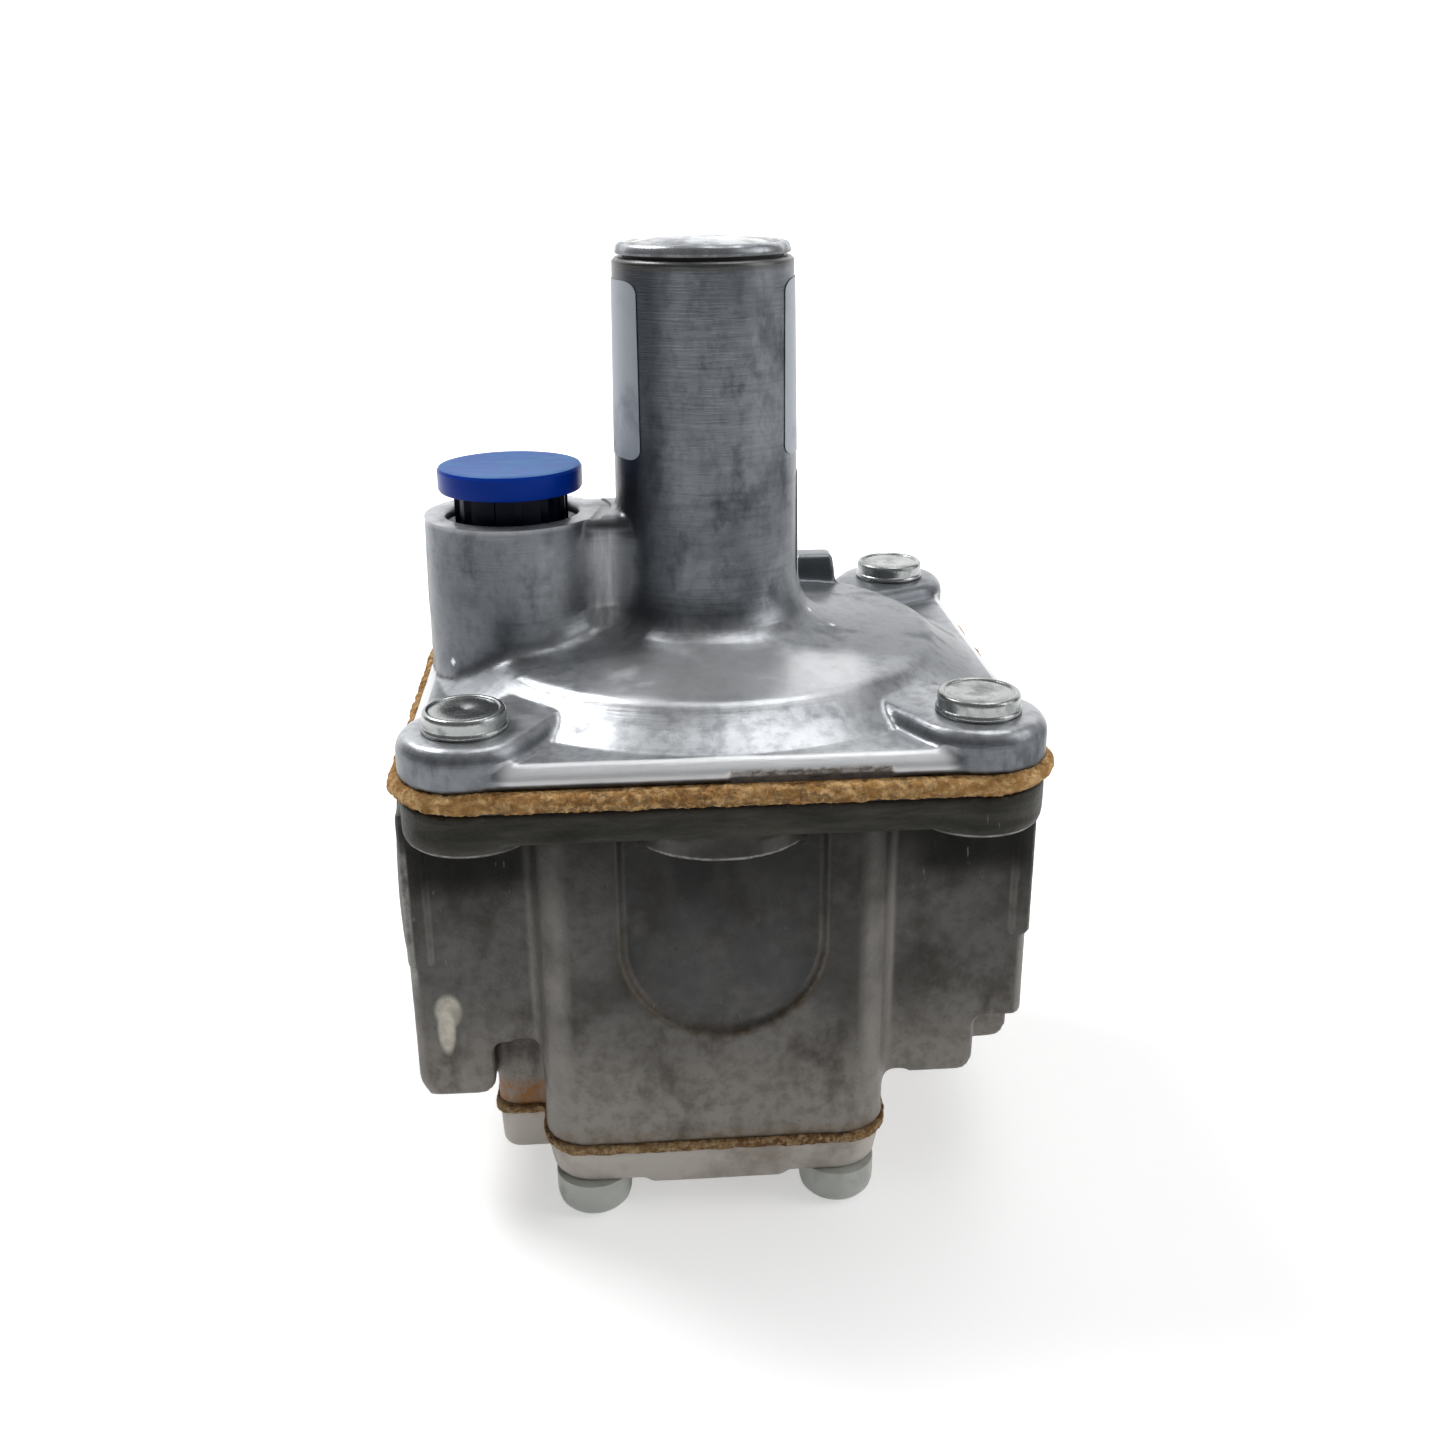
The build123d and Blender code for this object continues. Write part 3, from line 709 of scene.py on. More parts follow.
def pressedFibre(name, pale, deep, dark, scale, darkReach, under):
    # ragged tan sheet, dark low down and in rusty stretches along the middle of each side
    material, tree, shader, place = newMaterial(name)
    stains = levelled(tree, patches(tree, place, 75, 0.40, 0.60), 0.3, 1.0)
    crumbs = levelled(tree, patches(tree, place, scale * 1.7, 0.44, 0.56), 0.1, 1.0)
    colour = mixed(tree, patches(tree, place, scale, 0.40, 0.58, (1, 1, 1.6)), pale, deep)
    colour = painted(tree, colour, dark, heightMask(tree, place, under[1], under[0]), crumbs, 0.42)
    past, top = 50, 70
    for x, y in ((darkReach, past), (past, darkReach)):
        stretch = levelled(tree, boxMask(tree, place, (-x, -y, 0), (x, y, top), 9), 0.02, 0.62)
        colour = painted(tree, colour, dark, stains, crumbs, stretch)
    coated(tree, shader, colour, 0.92, patches(tree, place, scale * 1.6, 0.3, 0.7), 0.5, 1.0)
    return material


def mouldedPlastic(name, top, side, deep, dark=95.2):
    # glossy plastic, paler and dustier where it faces up, partly dust and partly painted light, and with the
    # deep colour low in its socket as painted shade
    material, tree, shader, place = newMaterial(name, Specular_IOR_Level=0.08)
    dust = levelled(tree, patches(tree, place, 260, 0.38, 0.62, (0.6, 1.4, 1)), 0.45, 1.0)
    amount = mathStep(tree, "MULTIPLY", upwardMask(tree, 0.55, 0.97), dust)
    wall = mixed(tree, heightMask(tree, place, dark + 0.2, dark - 0.2), side, deep)
    rough = levelled(tree, amount, 0.3, 0.6)
    colour = mixed(tree, amount, wall, top)
    coated(tree, shader, colour, rough, patches(tree, place, 900, 0.2, 0.8), 0.03, 0.4)
    return material


looks = {
    "upper_cast": brightCasting(),
    "lower_cast": dullCasting(),
    "cover_cast": wornMetal("paleCasting", (0.62, 0.58, 0.53, 1), (0.37, 0.325, 0.275, 1), 0.15, 0.6, 110),
    "cap_aluminium": turnedCap(),
    "plate_aluminium": wornMetal("plateMetal", (0.62, 0.62, 0.62, 1), (0.45, 0.45, 0.45, 1), 0.9, 0.4),
    "thread_metal": wornMetal("threadMetal", (0.30, 0.30, 0.30, 1), (0.16, 0.158, 0.15, 1), 0.6, 0.45),
    "gasket_fibre": pressedFibre(
        "ropeFibre", (0.95, 0.60, 0.26, 1), (0.60, 0.31, 0.095, 1), (0.080, 0.029, 0.006, 1),
        620, 24, (64.8, 65.8)),
    "gasket_thin": pressedFibre(
        "thinFibre", (0.74, 0.53, 0.29, 1), (0.50, 0.29, 0.12, 1), (0.18, 0.075, 0.024, 1),
        800, 50, (10.8, 11.4)),
    "zinc_steel": wornMetal("brightZinc", (0.36, 0.375, 0.37, 1), (0.19, 0.20, 0.20, 1), 0.95, 0.24, 300),
    "zinc_pale": wornMetal("paleZinc", (0.54, 0.565, 0.525, 1), (0.38, 0.40, 0.36, 1), 0.2, 0.42, 200),
    "steel": wornMetal("plainSteel", (0.50, 0.50, 0.50, 1), (0.34, 0.34, 0.34, 1), 1.0, 0.3),
    "spring_steel": wornMetal("springSteel", (0.42, 0.42, 0.43, 1), (0.28, 0.28, 0.28, 1), 1.0, 0.32),
    "rubber_sheet": wornMetal("rubberSheet", (0.045, 0.045, 0.045, 1), (0.07, 0.068, 0.065, 1), 0.0, 0.7),
    "black_rubber": wornMetal("blackRubber", (0.02, 0.02, 0.02, 1), (0.05, 0.05, 0.05, 1), 0.0, 0.55),
    "blue_plastic": mouldedPlastic(
        "bluePlastic", (0.095, 0.210, 0.43, 1), (0.0005, 0.036, 0.34, 1), (0.0004, 0.002, 0.012, 1)),
    "label_film": wornMetal("labelFilm", (0.38, 0.415, 0.46, 1), (0.17, 0.195, 0.235, 1), 0.0, 0.42, 90),
    "white_plastic": mouldedPlastic(
        "whitePlastic", (0.62, 0.62, 0.60, 1), (0.55, 0.55, 0.53, 1), (0.55, 0.55, 0.53, 1)),
}
print("materials made")


# the camera, with its place in millimetres, angles in radians and the lens for a sensor 36 mm wide
cameraView = {"place": (-12.45, -205.78, 138.36), "down": 0.364, "turn": -0.07, "roll": -0.01, "lens": 37.61}

# floor and lamps in metres; the floor glows less near the object, so that a soft shadow shows there
stage = {
    "half": 1.6, "back": 1.1, "wall": 1.4, "curve": 0.5, "near": 0.12, "far": 0.50, "nearGlow": 0.46,
    "skyGlow": 0.22, "centre": (0, 0, 0.06),
    "lamps": {
        "keyLamp": {"place": (-0.42, 0.30, 0.72), "size": (0.28, 0.28), "power": 4.5},
        "topLamp": {"place": (0.20, 0.10, 0.85), "size": (0.5, 0.4), "power": 2.0},
        "sideLamp": {"place": (0.75, -0.20, 0.42), "size": (0.42, 0.6), "power": 2.2},
    },
}


def setCamera():
    data = bpy.data.cameras.new("camera")
    data.lens = cameraView["lens"]
    data.sensor_width = 36
    data.clip_start = 0.01
    camera = bpy.data.objects.new("camera", data)
    bpy.context.scene.collection.objects.link(camera)
    turn = Matrix.Rotation(cameraView["turn"], 4, "Z") @ Matrix.Rotation(pi / 2 - cameraView["down"], 4, "X")
    turn = turn @ Matrix.Rotation(cameraView["roll"], 4, "Z")
    camera.matrix_world = Matrix.Translation(Vector(cameraView["place"]) * mm) @ turn
    bpy.context.scene.camera = camera


def addLamp(name, lamp):
    data = bpy.data.lights.new(name, "AREA")
    data.shape = "RECTANGLE"
    data.size, data.size_y = lamp["size"]
    data.energy = lamp["power"]
    light = bpy.data.objects.new(name, data)
    bpy.context.scene.collection.objects.link(light)
    light.location = lamp["place"]
    away = Vector(stage["centre"]) - Vector(lamp["place"])
    light.rotation_euler = away.to_track_quat("-Z", "Y").to_euler()


def setFloor():
    deselect()
    bpy.ops.mesh.primitive_plane_add(size=2 * stage["half"], location=(0, stage["back"] - stage["half"], 0))
    floor = settled("floor")
    edit(floor)
    rear = (stage["back"] - 0.01) / mm
    choose("EDGE", lambda edge: spot(edge).y > rear)
    bpy.ops.mesh.extrude_region_move(TRANSFORM_OT_translate={"value": (0, 0, stage["wall"])})
    choose("EDGE", lambda edge: spot(edge).y > rear and abs(spot(edge).z) < 1)
    bpy.ops.mesh.bevel(offset=stage["curve"], segments=24, affect="EDGES")
    leave()
    smoothShaded(floor)
    material, tree, shader, place = newMaterial(
        "paleFloor", Base_Color=(0.86, 0.86, 0.86, 1), Roughness=0.9, Specular_IOR_Level=0.1,
        Emission_Color=(1, 1, 1, 1))
    # it glows only for the camera, for mirrors and through glass, so the glow lights nothing
    rays = addNode(tree, "ShaderNodeLightPath").outputs
    seen = mathStep(tree, "MAXIMUM", rays["Is Glossy Ray"], rays["Is Transmission Ray"])
    seen = mathStep(tree, "MAXIMUM", rays["Is Camera Ray"], seen)
    away = ramped(tree, vectorStep(tree, "LENGTH", place), stage["near"], stage["far"])
    glow = mathStep(tree, "MULTIPLY", seen, levelled(tree, away, stage["nearGlow"], 1.0))
    fed(tree, shader.inputs["Emission Strength"], glow)
    floor.data.materials.append(material)


def setLight():
    world = bpy.data.worlds.new("room")
    bpy.context.scene.world = world
    world.use_nodes = True
    tree = world.node_tree
    sky = tree.nodes["Background"]
    sky.inputs["Color"].default_value = (1, 1, 1, 1)
    rays = addNode(tree, "ShaderNodeLightPath").outputs
    fed(tree, sky.inputs["Strength"], levelled(tree, rays["Is Camera Ray"], stage["skyGlow"], 1.0))
    for name, lamp in stage["lamps"].items():
        addLamp(name, lamp)
    bpy.context.scene.view_settings.view_transform = "Standard"


setCamera()
setFloor()
setLight()
print("camera, floor and light set")

# the upper casting: flange with four ears, dome, spring tower, vent boss, the web between them and a lug;
# an outline is a list of (radius, height), and a zone is what lies between its limits
housing = {
    "flangeTop": 70.0, "flangeBevel": 1.3, "voxel": 0.43, "waves": (9.0, 0.07), "faceSteps": 128,
    "ear": {"radius": 8.6, "tip": 4.5, "reach": 9.9,
            "levels": ((0, 70.7), (0.35, 71.6), (1.0, 72.3), (1.8, 72.5))},
    "dome": [
        (0, 67.4), (38.3, 67.4), (38.4, 69.6), (37.5, 70.4), (34.6, 71.9), (32.6, 73.3), (31.6, 74.2),
        (30.6, 74.5), (26.0, 75.0), (19.8, 75.8), (17.4, 76.3), (15.6, 77.0), (14.2, 78.2), (13.3, 80.0),
        (12.85, 82.0), (12.66, 84.0), (12.0, 124.2), (12.0, 127.0), (0, 127.0)],
    "boss": [(0, 68.0), (12.35, 68.0), (12.3, 76.0), (11.95, 90.6), (11.92, 94.0), (0, 94.0)],
    "bossTop": 92.0, "bossFace": 13.6,
    "web": {"low": (-22.0, -6.9, 69.0), "high": (-6.0, 6.9, 92.3), "bevel": 1.6},
    "lug": {"low": (14.4, 20.0, 72.0), "high": (21.6, 26.0, 79.1), "narrow": (0.8, 0.75), "bevel": 0.5},
    # the web sweeps into the boss and the tower, the boss into the dome, and the vent's rim is eased
    "webZone": {"x": (-24, -4), "y": (3.5, 11.5), "z": (75, 90.4)}, "webCalm": 90,
    "footZone": {"x": (-50, -9), "y": (-1, 20), "z": (71, 79.5)}, "footReach": (0, 18), "footCalm": 60,
    "rimZone": {"z": (91.5, 92.1)}, "rimReach": (11.2, 13.0), "rimCalm": 2,
    "cavity": [
        (0, 66.0), (31.5, 66.0), (31.5, 68.5), (27.5, 71.2), (16.0, 73.0), (8.6, 73.0), (8.6, 92.0),
        (9.0, 92.0), (9.0, 129.0), (0, 129.0)],
    "vent": [(0, 77.0), (7.6, 77.0), (7.6, 89.6), (9.05, 90.6), (9.05, 91.6), (10.4, 92.95), (0, 92.95)],
    "towerFace": [(0, 0), (11.55, 0), (12.1, -0.55), (14.0, -0.55), (14.0, 3.8), (0, 3.8)],
    "gate": {"zone": {"x": (0.2, 19.6), "y": (39.0, 50), "z": (67.2, 68.45)}, "depth": 0.35, "torn": 0.10},
}


def housingEar(x, y):
    # two stepped bosses, one at the corner and one further in, under one skin
    ear = housing["ear"]
    inner = [middle - ear["reach"] * (1 if middle > 0 else -1) for middle in (x, y)]
    rods = []
    for inset, level in ear["levels"]:
        rods.append(newRod("ear", ear["radius"] - inset, fit["housingLow"], level, (x, y)))
        rods.append(newRod("ear", ear["tip"] - inset, fit["housingLow"], level, inner, 32))
    return hulled("ear", rods)


def housingSolids():
    half, web, lug, bossPlace = fit["flangeHalf"], housing["web"], housing["lug"], (fit["bossX"], 0)
    dome = turned("dome", housing["dome"])
    flange = newBox("flange", (-half, -half, fit["housingLow"]), (half, half, housing["flangeTop"]))
    bevelWhere(flange, upright, fit["flangeCorner"], 8)
    bevelWhere(flange, atHeight(housing["flangeTop"]), housing["flangeBevel"], 1)
    ears = [housingEar(x, y) for x, y in corners(fit["screwAt"], fit["screwAt"])]
    boss = turned("boss", housing["boss"], bossPlace)
    bridge = newBox("web", web["low"], web["high"])
    bevelWhere(bridge, lambda edge: between(edge, y=(6, 7), z=(91, 93)), web["bevel"], 4)
    block = newBox("lug", lug["low"], lug["high"])
    narrowed(block, lambda face: spot(face).z > 79, lug["narrow"])
    bevelWhere(block, lambda edge: spot(edge).z > 78.9, lug["bevel"], 2)
    return [dome, flange, boss, bridge, block] + ears


def bossReach(vertex):
    return hypot(spot(vertex).x - fit["bossX"], spot(vertex).y)


def calmed(piece, zone, span, repeat):
    # smooths one zone, as far as its reach round the vent boss allows
    low, high = span
    softened(piece, lambda v: between(v, **zone) and low < bossReach(v) < high, repeat)


def makeTopHousing():
    piece = joined("topHousing", housingSolids())
    fused(piece, housing["voxel"], 2)
    calmed(piece, housing["webZone"], (0, 50), housing["webCalm"])
    calmed(piece, housing["footZone"], housing["footReach"], housing["footCalm"])
    roughened(piece, "castWaves", *housing["waves"])
    # both rims are faced flat and lose a fine edge
    steps, bossPlace, bossTop = housing["faceSteps"], (fit["bossX"], 0), housing["bossTop"]
    cavity = turned("cavity", housing["cavity"])
    towerFace = [(radius, fit["towerHigh"] + rise) for radius, rise in housing["towerFace"]]
    towerFace = turned("towerFace", towerFace, (0, 0), steps)
    bossFace = newRod("bossFace", housing["bossFace"], bossTop, bossTop + 5, bossPlace, steps)
    vent = turned("vent", housing["vent"], bossPlace, steps)
    cutEach(piece, [cavity, towerFace, bossFace, vent])
    calmed(piece, housing["rimZone"], housing["rimReach"], housing["rimCalm"])
    # a broken casting gate along the front edge
    gate = housing["gate"]
    edit(piece)
    choose("VERT", lambda v: v.co.y < 0 and between(v, **gate["zone"]))
    shifted(0, gate["depth"], 0)
    bpy.ops.transform.vertex_random(offset=gate["torn"] * mm, uniform=0.5, normal=0.5, seed=4)
    leave()
    finished(piece, "upper_cast", "housing", "top_housing")
    print("upper casting triangles", triangleCount(piece))


makeTopHousing()
print("upper casting made")

# the lower casting: block with U-shaped pockets, side lobe, two wings with port bosses, flange and ears
casting = {
    "blockTop": 62.0, "voxel": 0.52, "waves": (7.0, 0.12),
    "pocket": {"x": -0.5, "radius": 13.2, "height": 42.2, "floor": 33.2},
    "wings": {"low": (-42.0, -28.5, 17.2), "high": (41.2, 28.5, 60.0), "footBevel": 2.6, "bevel": 1.9},
    "notches": {"near": 20.5, "far": 32, "bottom": 10, "leftTop": 25.0, "rightTop": 25.8, "bevel": 2.4,
                "left": (-31.5, -20), "right": (34.5, 46)},
    # raised wrench lands at the outer ends of the front and the rear: left side, right side and foot
    "lands": {"near": 27.5, "far": 29.25, "spans": ((-41.9, -39.0, 37.5), (38.9, 41.1, 38.5)), "bevel": 0.9},
    "flange": {"low": 59.6, "bevel": 1.0}, "lobe": {"high": 30.0, "bevel": 1.2},
    "ear": [(0, 58.2), (7.4, 58.2), (8.2, 58.6), (8.6, 59.5), (8.6, 64.2), (0, 64.2)],
    "lip": {"radius": 12.65, "low": 56.3, "high": 60.5, "x": -0.5, "y": 26.8},
    "port": [(0, 30.0), (20.5, 30.0), (20.5, 41.6), (20.1, 42.8), (19.2, 43.6), (18.2, 44.0), (0, 44.0)],
    # hollows
    "bowl": [(0, 56.5), (24.0, 56.5), (31.5, 60.5), (31.5, 66.0), (0, 66.0)],
    "chambers": {"radius": 16.5, "spans": ((10.0, 40.0), (44.0, 58.0))},
    "orifice": {"radius": 9.0, "low": 37.0, "high": 46.0},
    "mouth": [(0, 27.9), (13.2, 27.9), (13.2, 43.0), (14.1, 44.4), (14.1, 46.0), (0, 46.0)],
    "way": {"radius": 10.5, "near": 8.0, "far": 29.0},
    "stops": (((-30, -15, 40), (0, 15, 60)), ((0, -15, 20), (30, 15, 44))),
    # soft inner corners where the block meets the wings, the lobe and the flange
    "cornerZones": [{"x": span, "y": (26.5, 31.5), "z": (13, 58)} for span in ((-29, -22.5), (19.5, 25.5))],
    "cornerCalm": 25,
}


def laidAlongPort(piece, side):
    # an upright turned shape is laid down towards +X or -X, on the ports' axis
    edit(piece)
    bpy.ops.transform.rotate(value=-side * pi / 2, orient_axis="Y", center_override=(0, 0, 0))
    shifted(0, 0, fit["portHeight"])
    leave()
    return piece


def castingBlock():
    pocket = casting["pocket"]
    x, radius, height = pocket["x"], pocket["radius"], pocket["height"]
    piece = planBox("block", "block", fit["bodyLow"], casting["blockTop"])
    for low, high in bothSides(pocket["floor"], 40):
        boolean(piece, newRod("bowl", radius, low, high, (x, height), 96, "Y"))
        boolean(piece, newBox("rise", (x - radius, low, height), (x + radius, high, 70)))
    return piece


def castingWings():
    wings, notches = casting["wings"], casting["notches"]
    foot = wings["low"][2] + 0.1
    piece = newBox("wings", wings["low"], wings["high"])
    bevelWhere(piece, lambda edge: abs(spot(edge).x) > 41 and spot(edge).z < foot, wings["footBevel"], 5)
    bevelWhere(piece, upright, wings["bevel"], 4)
    for near, far in bothSides(notches["near"], notches["far"]):
        for kind in ("left", "right"):
            low, high = notches[kind]
            top = notches[kind + "Top"]
            boolean(piece, newBox("notch", (low, near, notches["bottom"]), (high, far, top)))
    inner = (notches["left"][0], notches["right"][0])
    bevelWhere(piece, lambda edge: spot(edge).z < foot and abs(spot(edge).y) > 20.6
               and min(abs(spot(edge).x - side) for side in inner) < 0.1, notches["bevel"], 5)
    return piece


def castingLands():
    lands = []
    for near, far in bothSides(casting["lands"]["near"], casting["lands"]["far"]):
        for low, high, foot in casting["lands"]["spans"]:
            land = newBox("land", (low, near, foot), (high, far, 60))
            bevelWhere(land, lambda edge: abs(spot(edge).z - foot) < 0.1, casting["lands"]["bevel"], 3)
            lands.append(land)
    return lands


def castingHollows():
    chambers, orifice, way = casting["chambers"], casting["orifice"], casting["way"]
    tools = [turned("bowl", casting["bowl"])]
    tools += [newRod("chamber", chambers["radius"], low, high) for low, high in chambers["spans"]]
    tools.append(newRod("orifice", orifice["radius"], orifice["low"], orifice["high"]))
    for side, (low, high), stop in zip((-1, 1), bothSides(way["near"], way["far"]), casting["stops"]):
        tools.append(laidAlongPort(turned("mouth", casting["mouth"]), side))
        passage = newRod("way", way["radius"], low, high, (0, fit["portHeight"]), 96, "X")
        boolean(passage, newBox("stop", *stop))
        tools.append(passage)
    return tools


def makeBodyCasting():
    half, low, lip = fit["flangeHalf"], casting["flange"]["low"], casting["lip"]
    flange = newBox("flange", (-half, -half, low), (half, half, fit["bodyHigh"]))
    bevelWhere(flange, upright, fit["flangeCorner"], 8)
    bevelWhere(flange, atHeight(low), casting["flange"]["bevel"], 3)
    ears = [turned("ear", casting["ear"], place, 48) for place in corners(fit["screwAt"], fit["screwAt"])]
    lips = [newRod("lip", lip["radius"], lip["low"], lip["high"], (lip["x"], side * lip["y"]))
            for side in (-1, 1)]
    lobe = planBox("lobe", "lobe", fit["bodyLow"], casting["lobe"]["high"])
    bevelWhere(lobe, atHeight(casting["lobe"]["high"]), casting["lobe"]["bevel"], 3)
    parts = [castingBlock(), flange, castingWings(), lobe]
    parts += [laidAlongPort(turned("portBoss", casting["port"]), side) for side in (-1, 1)]
    piece = joined("bodyCasting", parts + ears + lips + castingLands())
    fused(piece, casting["voxel"], 2)
    zones = casting["cornerZones"]
    softened(piece, lambda v: any(between(v, **zone) for zone in zones), casting["cornerCalm"])
    roughened(piece, "castWaves", *casting["waves"])
    cutEach(piece, castingHollows())
    finished(piece, "lower_cast", "housing", "body_casting")
    print("lower casting triangles", triangleCount(piece))


# the V-shaped thread in both ports, which ends inside the port's face
thread = {
    "pitch": 1.814, "crest": 12.05, "root": 13.3, "turns": 7, "start": 28.6, "flank": 0.78, "flat": 0.25}


def makePortThread(name, side):
    # one V-shaped turn, made on the bore's axis and repeated along it
    piece = newPoint(name, side * thread["start"], 0, fit["portHeight"] + thread["root"])
    deep = thread["root"] - thread["crest"]
    rest = thread["pitch"] - thread["flank"] - thread["flat"]
    for along, rise in ((thread["flank"], -deep), (thread["flat"], 0), (rest, deep)):
        extruded(side * along, 0, rise)
    bpy.ops.mesh.select_all(action="SELECT")
    shifted(0, 0, -fit["portHeight"])
    leave()
    applied(piece, "SCREW", axis="X", screw_offset=side * thread["pitch"] * mm, iterations=thread["turns"],
            steps=72, render_steps=72, use_merge_vertices=True, merge_threshold=0.01 * mm)
    edit(piece)
    shifted(0, 0, fit["portHeight"])
    bpy.ops.mesh.remove_doubles(threshold=0.01 * mm)
    leave()
    finished(piece, "thread_metal", "housing", None, 40)


makeBodyCasting()
makePortThread("inletThread", -1)
makePortThread("outletThread", 1)
print("lower casting made")

# the main gasket's squeezed-out edge, with coarse lumps and fine fibres as (size, depth), and its sheet
gasketEdge = {
    "half": 40.4, "corner": 9.2, "height": 65.8, "radius": 1.25, "sides": 18, "straightSteps": 110,
    "turnSteps": 26, "lumps": (3.4, 0.7), "fibres": (0.7, 0.5)}
gasketSheet = {"half": 40.0, "corner": 8.6, "hole": 31.5}


def roundedLoop(name, loop):
    # a round section carried along a rounded square
    inner = loop["half"] - loop["corner"]
    deselect()
    bpy.ops.mesh.primitive_circle_add(
        vertices=loop["sides"], radius=loop["radius"] * mm, rotation=(pi / 2, 0, 0),
        location=(loop["half"] * mm, -inner * mm, loop["height"] * mm))
    piece = settled(name)
    edit(piece)
    step = 2 * inner * mm / loop["straightSteps"]
    for side, (x, y) in enumerate(((inner, inner), (-inner, inner), (-inner, -inner), (inner, -inner))):
        angle = side * pi / 2
        move = (-sin(angle) * step, cos(angle) * step, 0)
        for _ in range(loop["straightSteps"]):
            bpy.ops.mesh.extrude_region_move(TRANSFORM_OT_translate={"value": move})
        bpy.ops.mesh.spin(
            steps=loop["turnSteps"], angle=-pi / 2, center=(x * mm, y * mm, 0), axis=(0, 0, 1))
    bpy.ops.mesh.select_all(action="SELECT")
    bpy.ops.mesh.remove_doubles(threshold=0.02 * mm)
    bpy.ops.mesh.normals_make_consistent(inside=False)
    leave()
    return piece


def makeMainGasket():
    edge = roundedLoop("gasketCord", gasketEdge)
    applied(edge, "SUBSURF", levels=1, render_levels=1)
    roughened(edge, "cordLumps", *gasketEdge["lumps"])
    roughened(edge, "cordFibres", *gasketEdge["fibres"])
    half, hole = gasketSheet["half"], gasketSheet["hole"]
    sheet = newBox("gasketSheet", (-half, -half, fit["gasketLow"]), (half, half, fit["housingLow"]))
    bevelWhere(sheet, upright, gasketSheet["corner"], 8)
    boolean(sheet, newRod("inside", hole, 60, 70, (0, 0), 96))
    for piece in (edge, sheet):
        finished(piece, "gasket_fibre", "housing", "main_gasket", 60)


# the bottom gasket: low, high and how far past the block, for its squeezed rim and the core cut from it
thinGasket = {
    "rim": (11.0, 12.15, 0.45), "rimVoxel": 0.3, "core": (5.0, 20.0, -3.0), "coreVoxel": 0.8,
    "lumps": (4.0, 0.55), "fibres": (0.9, 0.35)}


def planBoxes(name, low, high, grow=0.0):
    return [planBox("block", name, low, high, grow), planBox("lobe", "lobe", low, high, grow)]


def makeBottomGasket():
    # only the squeezed edge shows, so the middle is left open
    edge = joined("bottomGasketEdge", planBoxes("rim", *thinGasket["rim"]))
    fused(edge, thinGasket["rimVoxel"])
    core = joined("core", planBoxes("core", *thinGasket["core"]))
    fused(core, thinGasket["coreVoxel"])
    cutEach(edge, [core])
    roughened(edge, "edgeLumps", *thinGasket["lumps"])
    roughened(edge, "edgeFibres", *thinGasket["fibres"])
    finished(edge, "gasket_thin", "housing", "bottom_gasket", 60)


makeMainGasket()
makeBottomGasket()
print("gaskets made")

# bottom cover, with the block's and the lobe's feet drawn in, and spot faces round its screws
cover = {
    "top": 11.2, "drawnIn": (0.955, 0.97), "bevel": 1.2, "voxel": 0.42, "waves": (6.0, 0.12),
    "spotFace": {"radius": 8.2, "top": 5.5, "x": 17.0, "y": 29.3, "shift": -1.65},
}


def makeBottomCover():
    low, face = fit["coverLow"], cover["spotFace"]
    parts = planBoxes("bottomCover", low, cover["top"])
    for part, scale in zip(parts, cover["drawnIn"]):
        narrowed(part, lambda side: spot(side).z < low + 0.1, (scale, scale))
        bevelWhere(part, atHeight(low), cover["bevel"], 3)
    for x, y in corners(face["x"], face["y"]):
        cutEach(parts[0], [newRod("spotFace", face["radius"], 0, face["top"], (x + face["shift"], y), 48)])
    piece = joined("bottomCover", parts)
    fused(piece, cover["voxel"], 4)
    roughened(piece, "castWaves", *cover["waves"])
    finished(piece, "cover_cast", "housing", "bottom_cover", 60)


# a screw of each set, as (radius, height), its place and the moves that give the others
screws = {
    "topScrews": {
        "node": "top_screws", "look": "zinc_steel",
        "place": (fit["screwAt"], fit["screwAt"]), "apart": (-63.6, -63.6),
        "outline": [
            (0, 57.0), (2.5, 57.0), (2.5, 72.4), (5.2, 72.45), (5.36, 72.62), (5.4, 72.9), (5.3, 73.15),
            (5.14, 73.28), (5.12, 73.45), (5.18, 74.2), (5.16, 74.6), (5.02, 74.9), (4.8, 75.04),
            (4.55, 75.06), (4.38, 74.98), (4.28, 74.84), (4.1, 74.82), (3.9, 74.9), (3.7, 74.92),
            (0.5, 74.92), (0.36, 74.84), (0, 74.82)]},
    "bottomScrews": {
        "node": "bottom_screws", "look": "zinc_pale", "place": (-18.65, -29.3), "apart": (34, 58.6),
        "outline": [
            (0, 0), (2.4, 0.0), (3.5, 0.14), (4.35, 0.55), (4.9, 1.2), (5.15, 2.1), (5.2, 3.2), (5.2, 5.5),
            (2.5, 5.6), (2.5, 18.7), (0, 18.7)]},
}


def makeScrews():
    for name, screw in screws.items():
        x, y = screw["apart"]
        first = turned(name, screw["outline"], screw["place"], 64)
        others = [copied(first, "screw", move) for move in ((x, 0, 0), (0, y, 0), (x, y, 0))]
        finished(joined(name, [first] + others), screw["look"], "housing", screw["node"], 40)


makeBottomCover()
makeScrews()
print("cover and screws made")

# the seal cap, with its skirt inside the tower
cap = {
    "outline": [
        (0, 127.64), (3.0, 127.62), (6.0, 127.5), (8.0, 127.28), (9.2, 127.0), (9.7, 126.92), (10.2, 126.98),
        (10.7, 127.06), (11.1, 126.95), (11.38, 126.65), (11.52, 126.2), (11.58, 125.85), (11.5, 125.66),
        (11.3, 125.6), (8.9, 125.6), (8.9, 117.4), (6.9, 117.4), (6.9, 124.2), (0, 124.2)],
}


def makeSealCap():
    piece = turned("sealCap", cap["outline"], (0, 0), 128)
    finished(piece, "cap_aluminium", "cap", "seal_cap", 40)


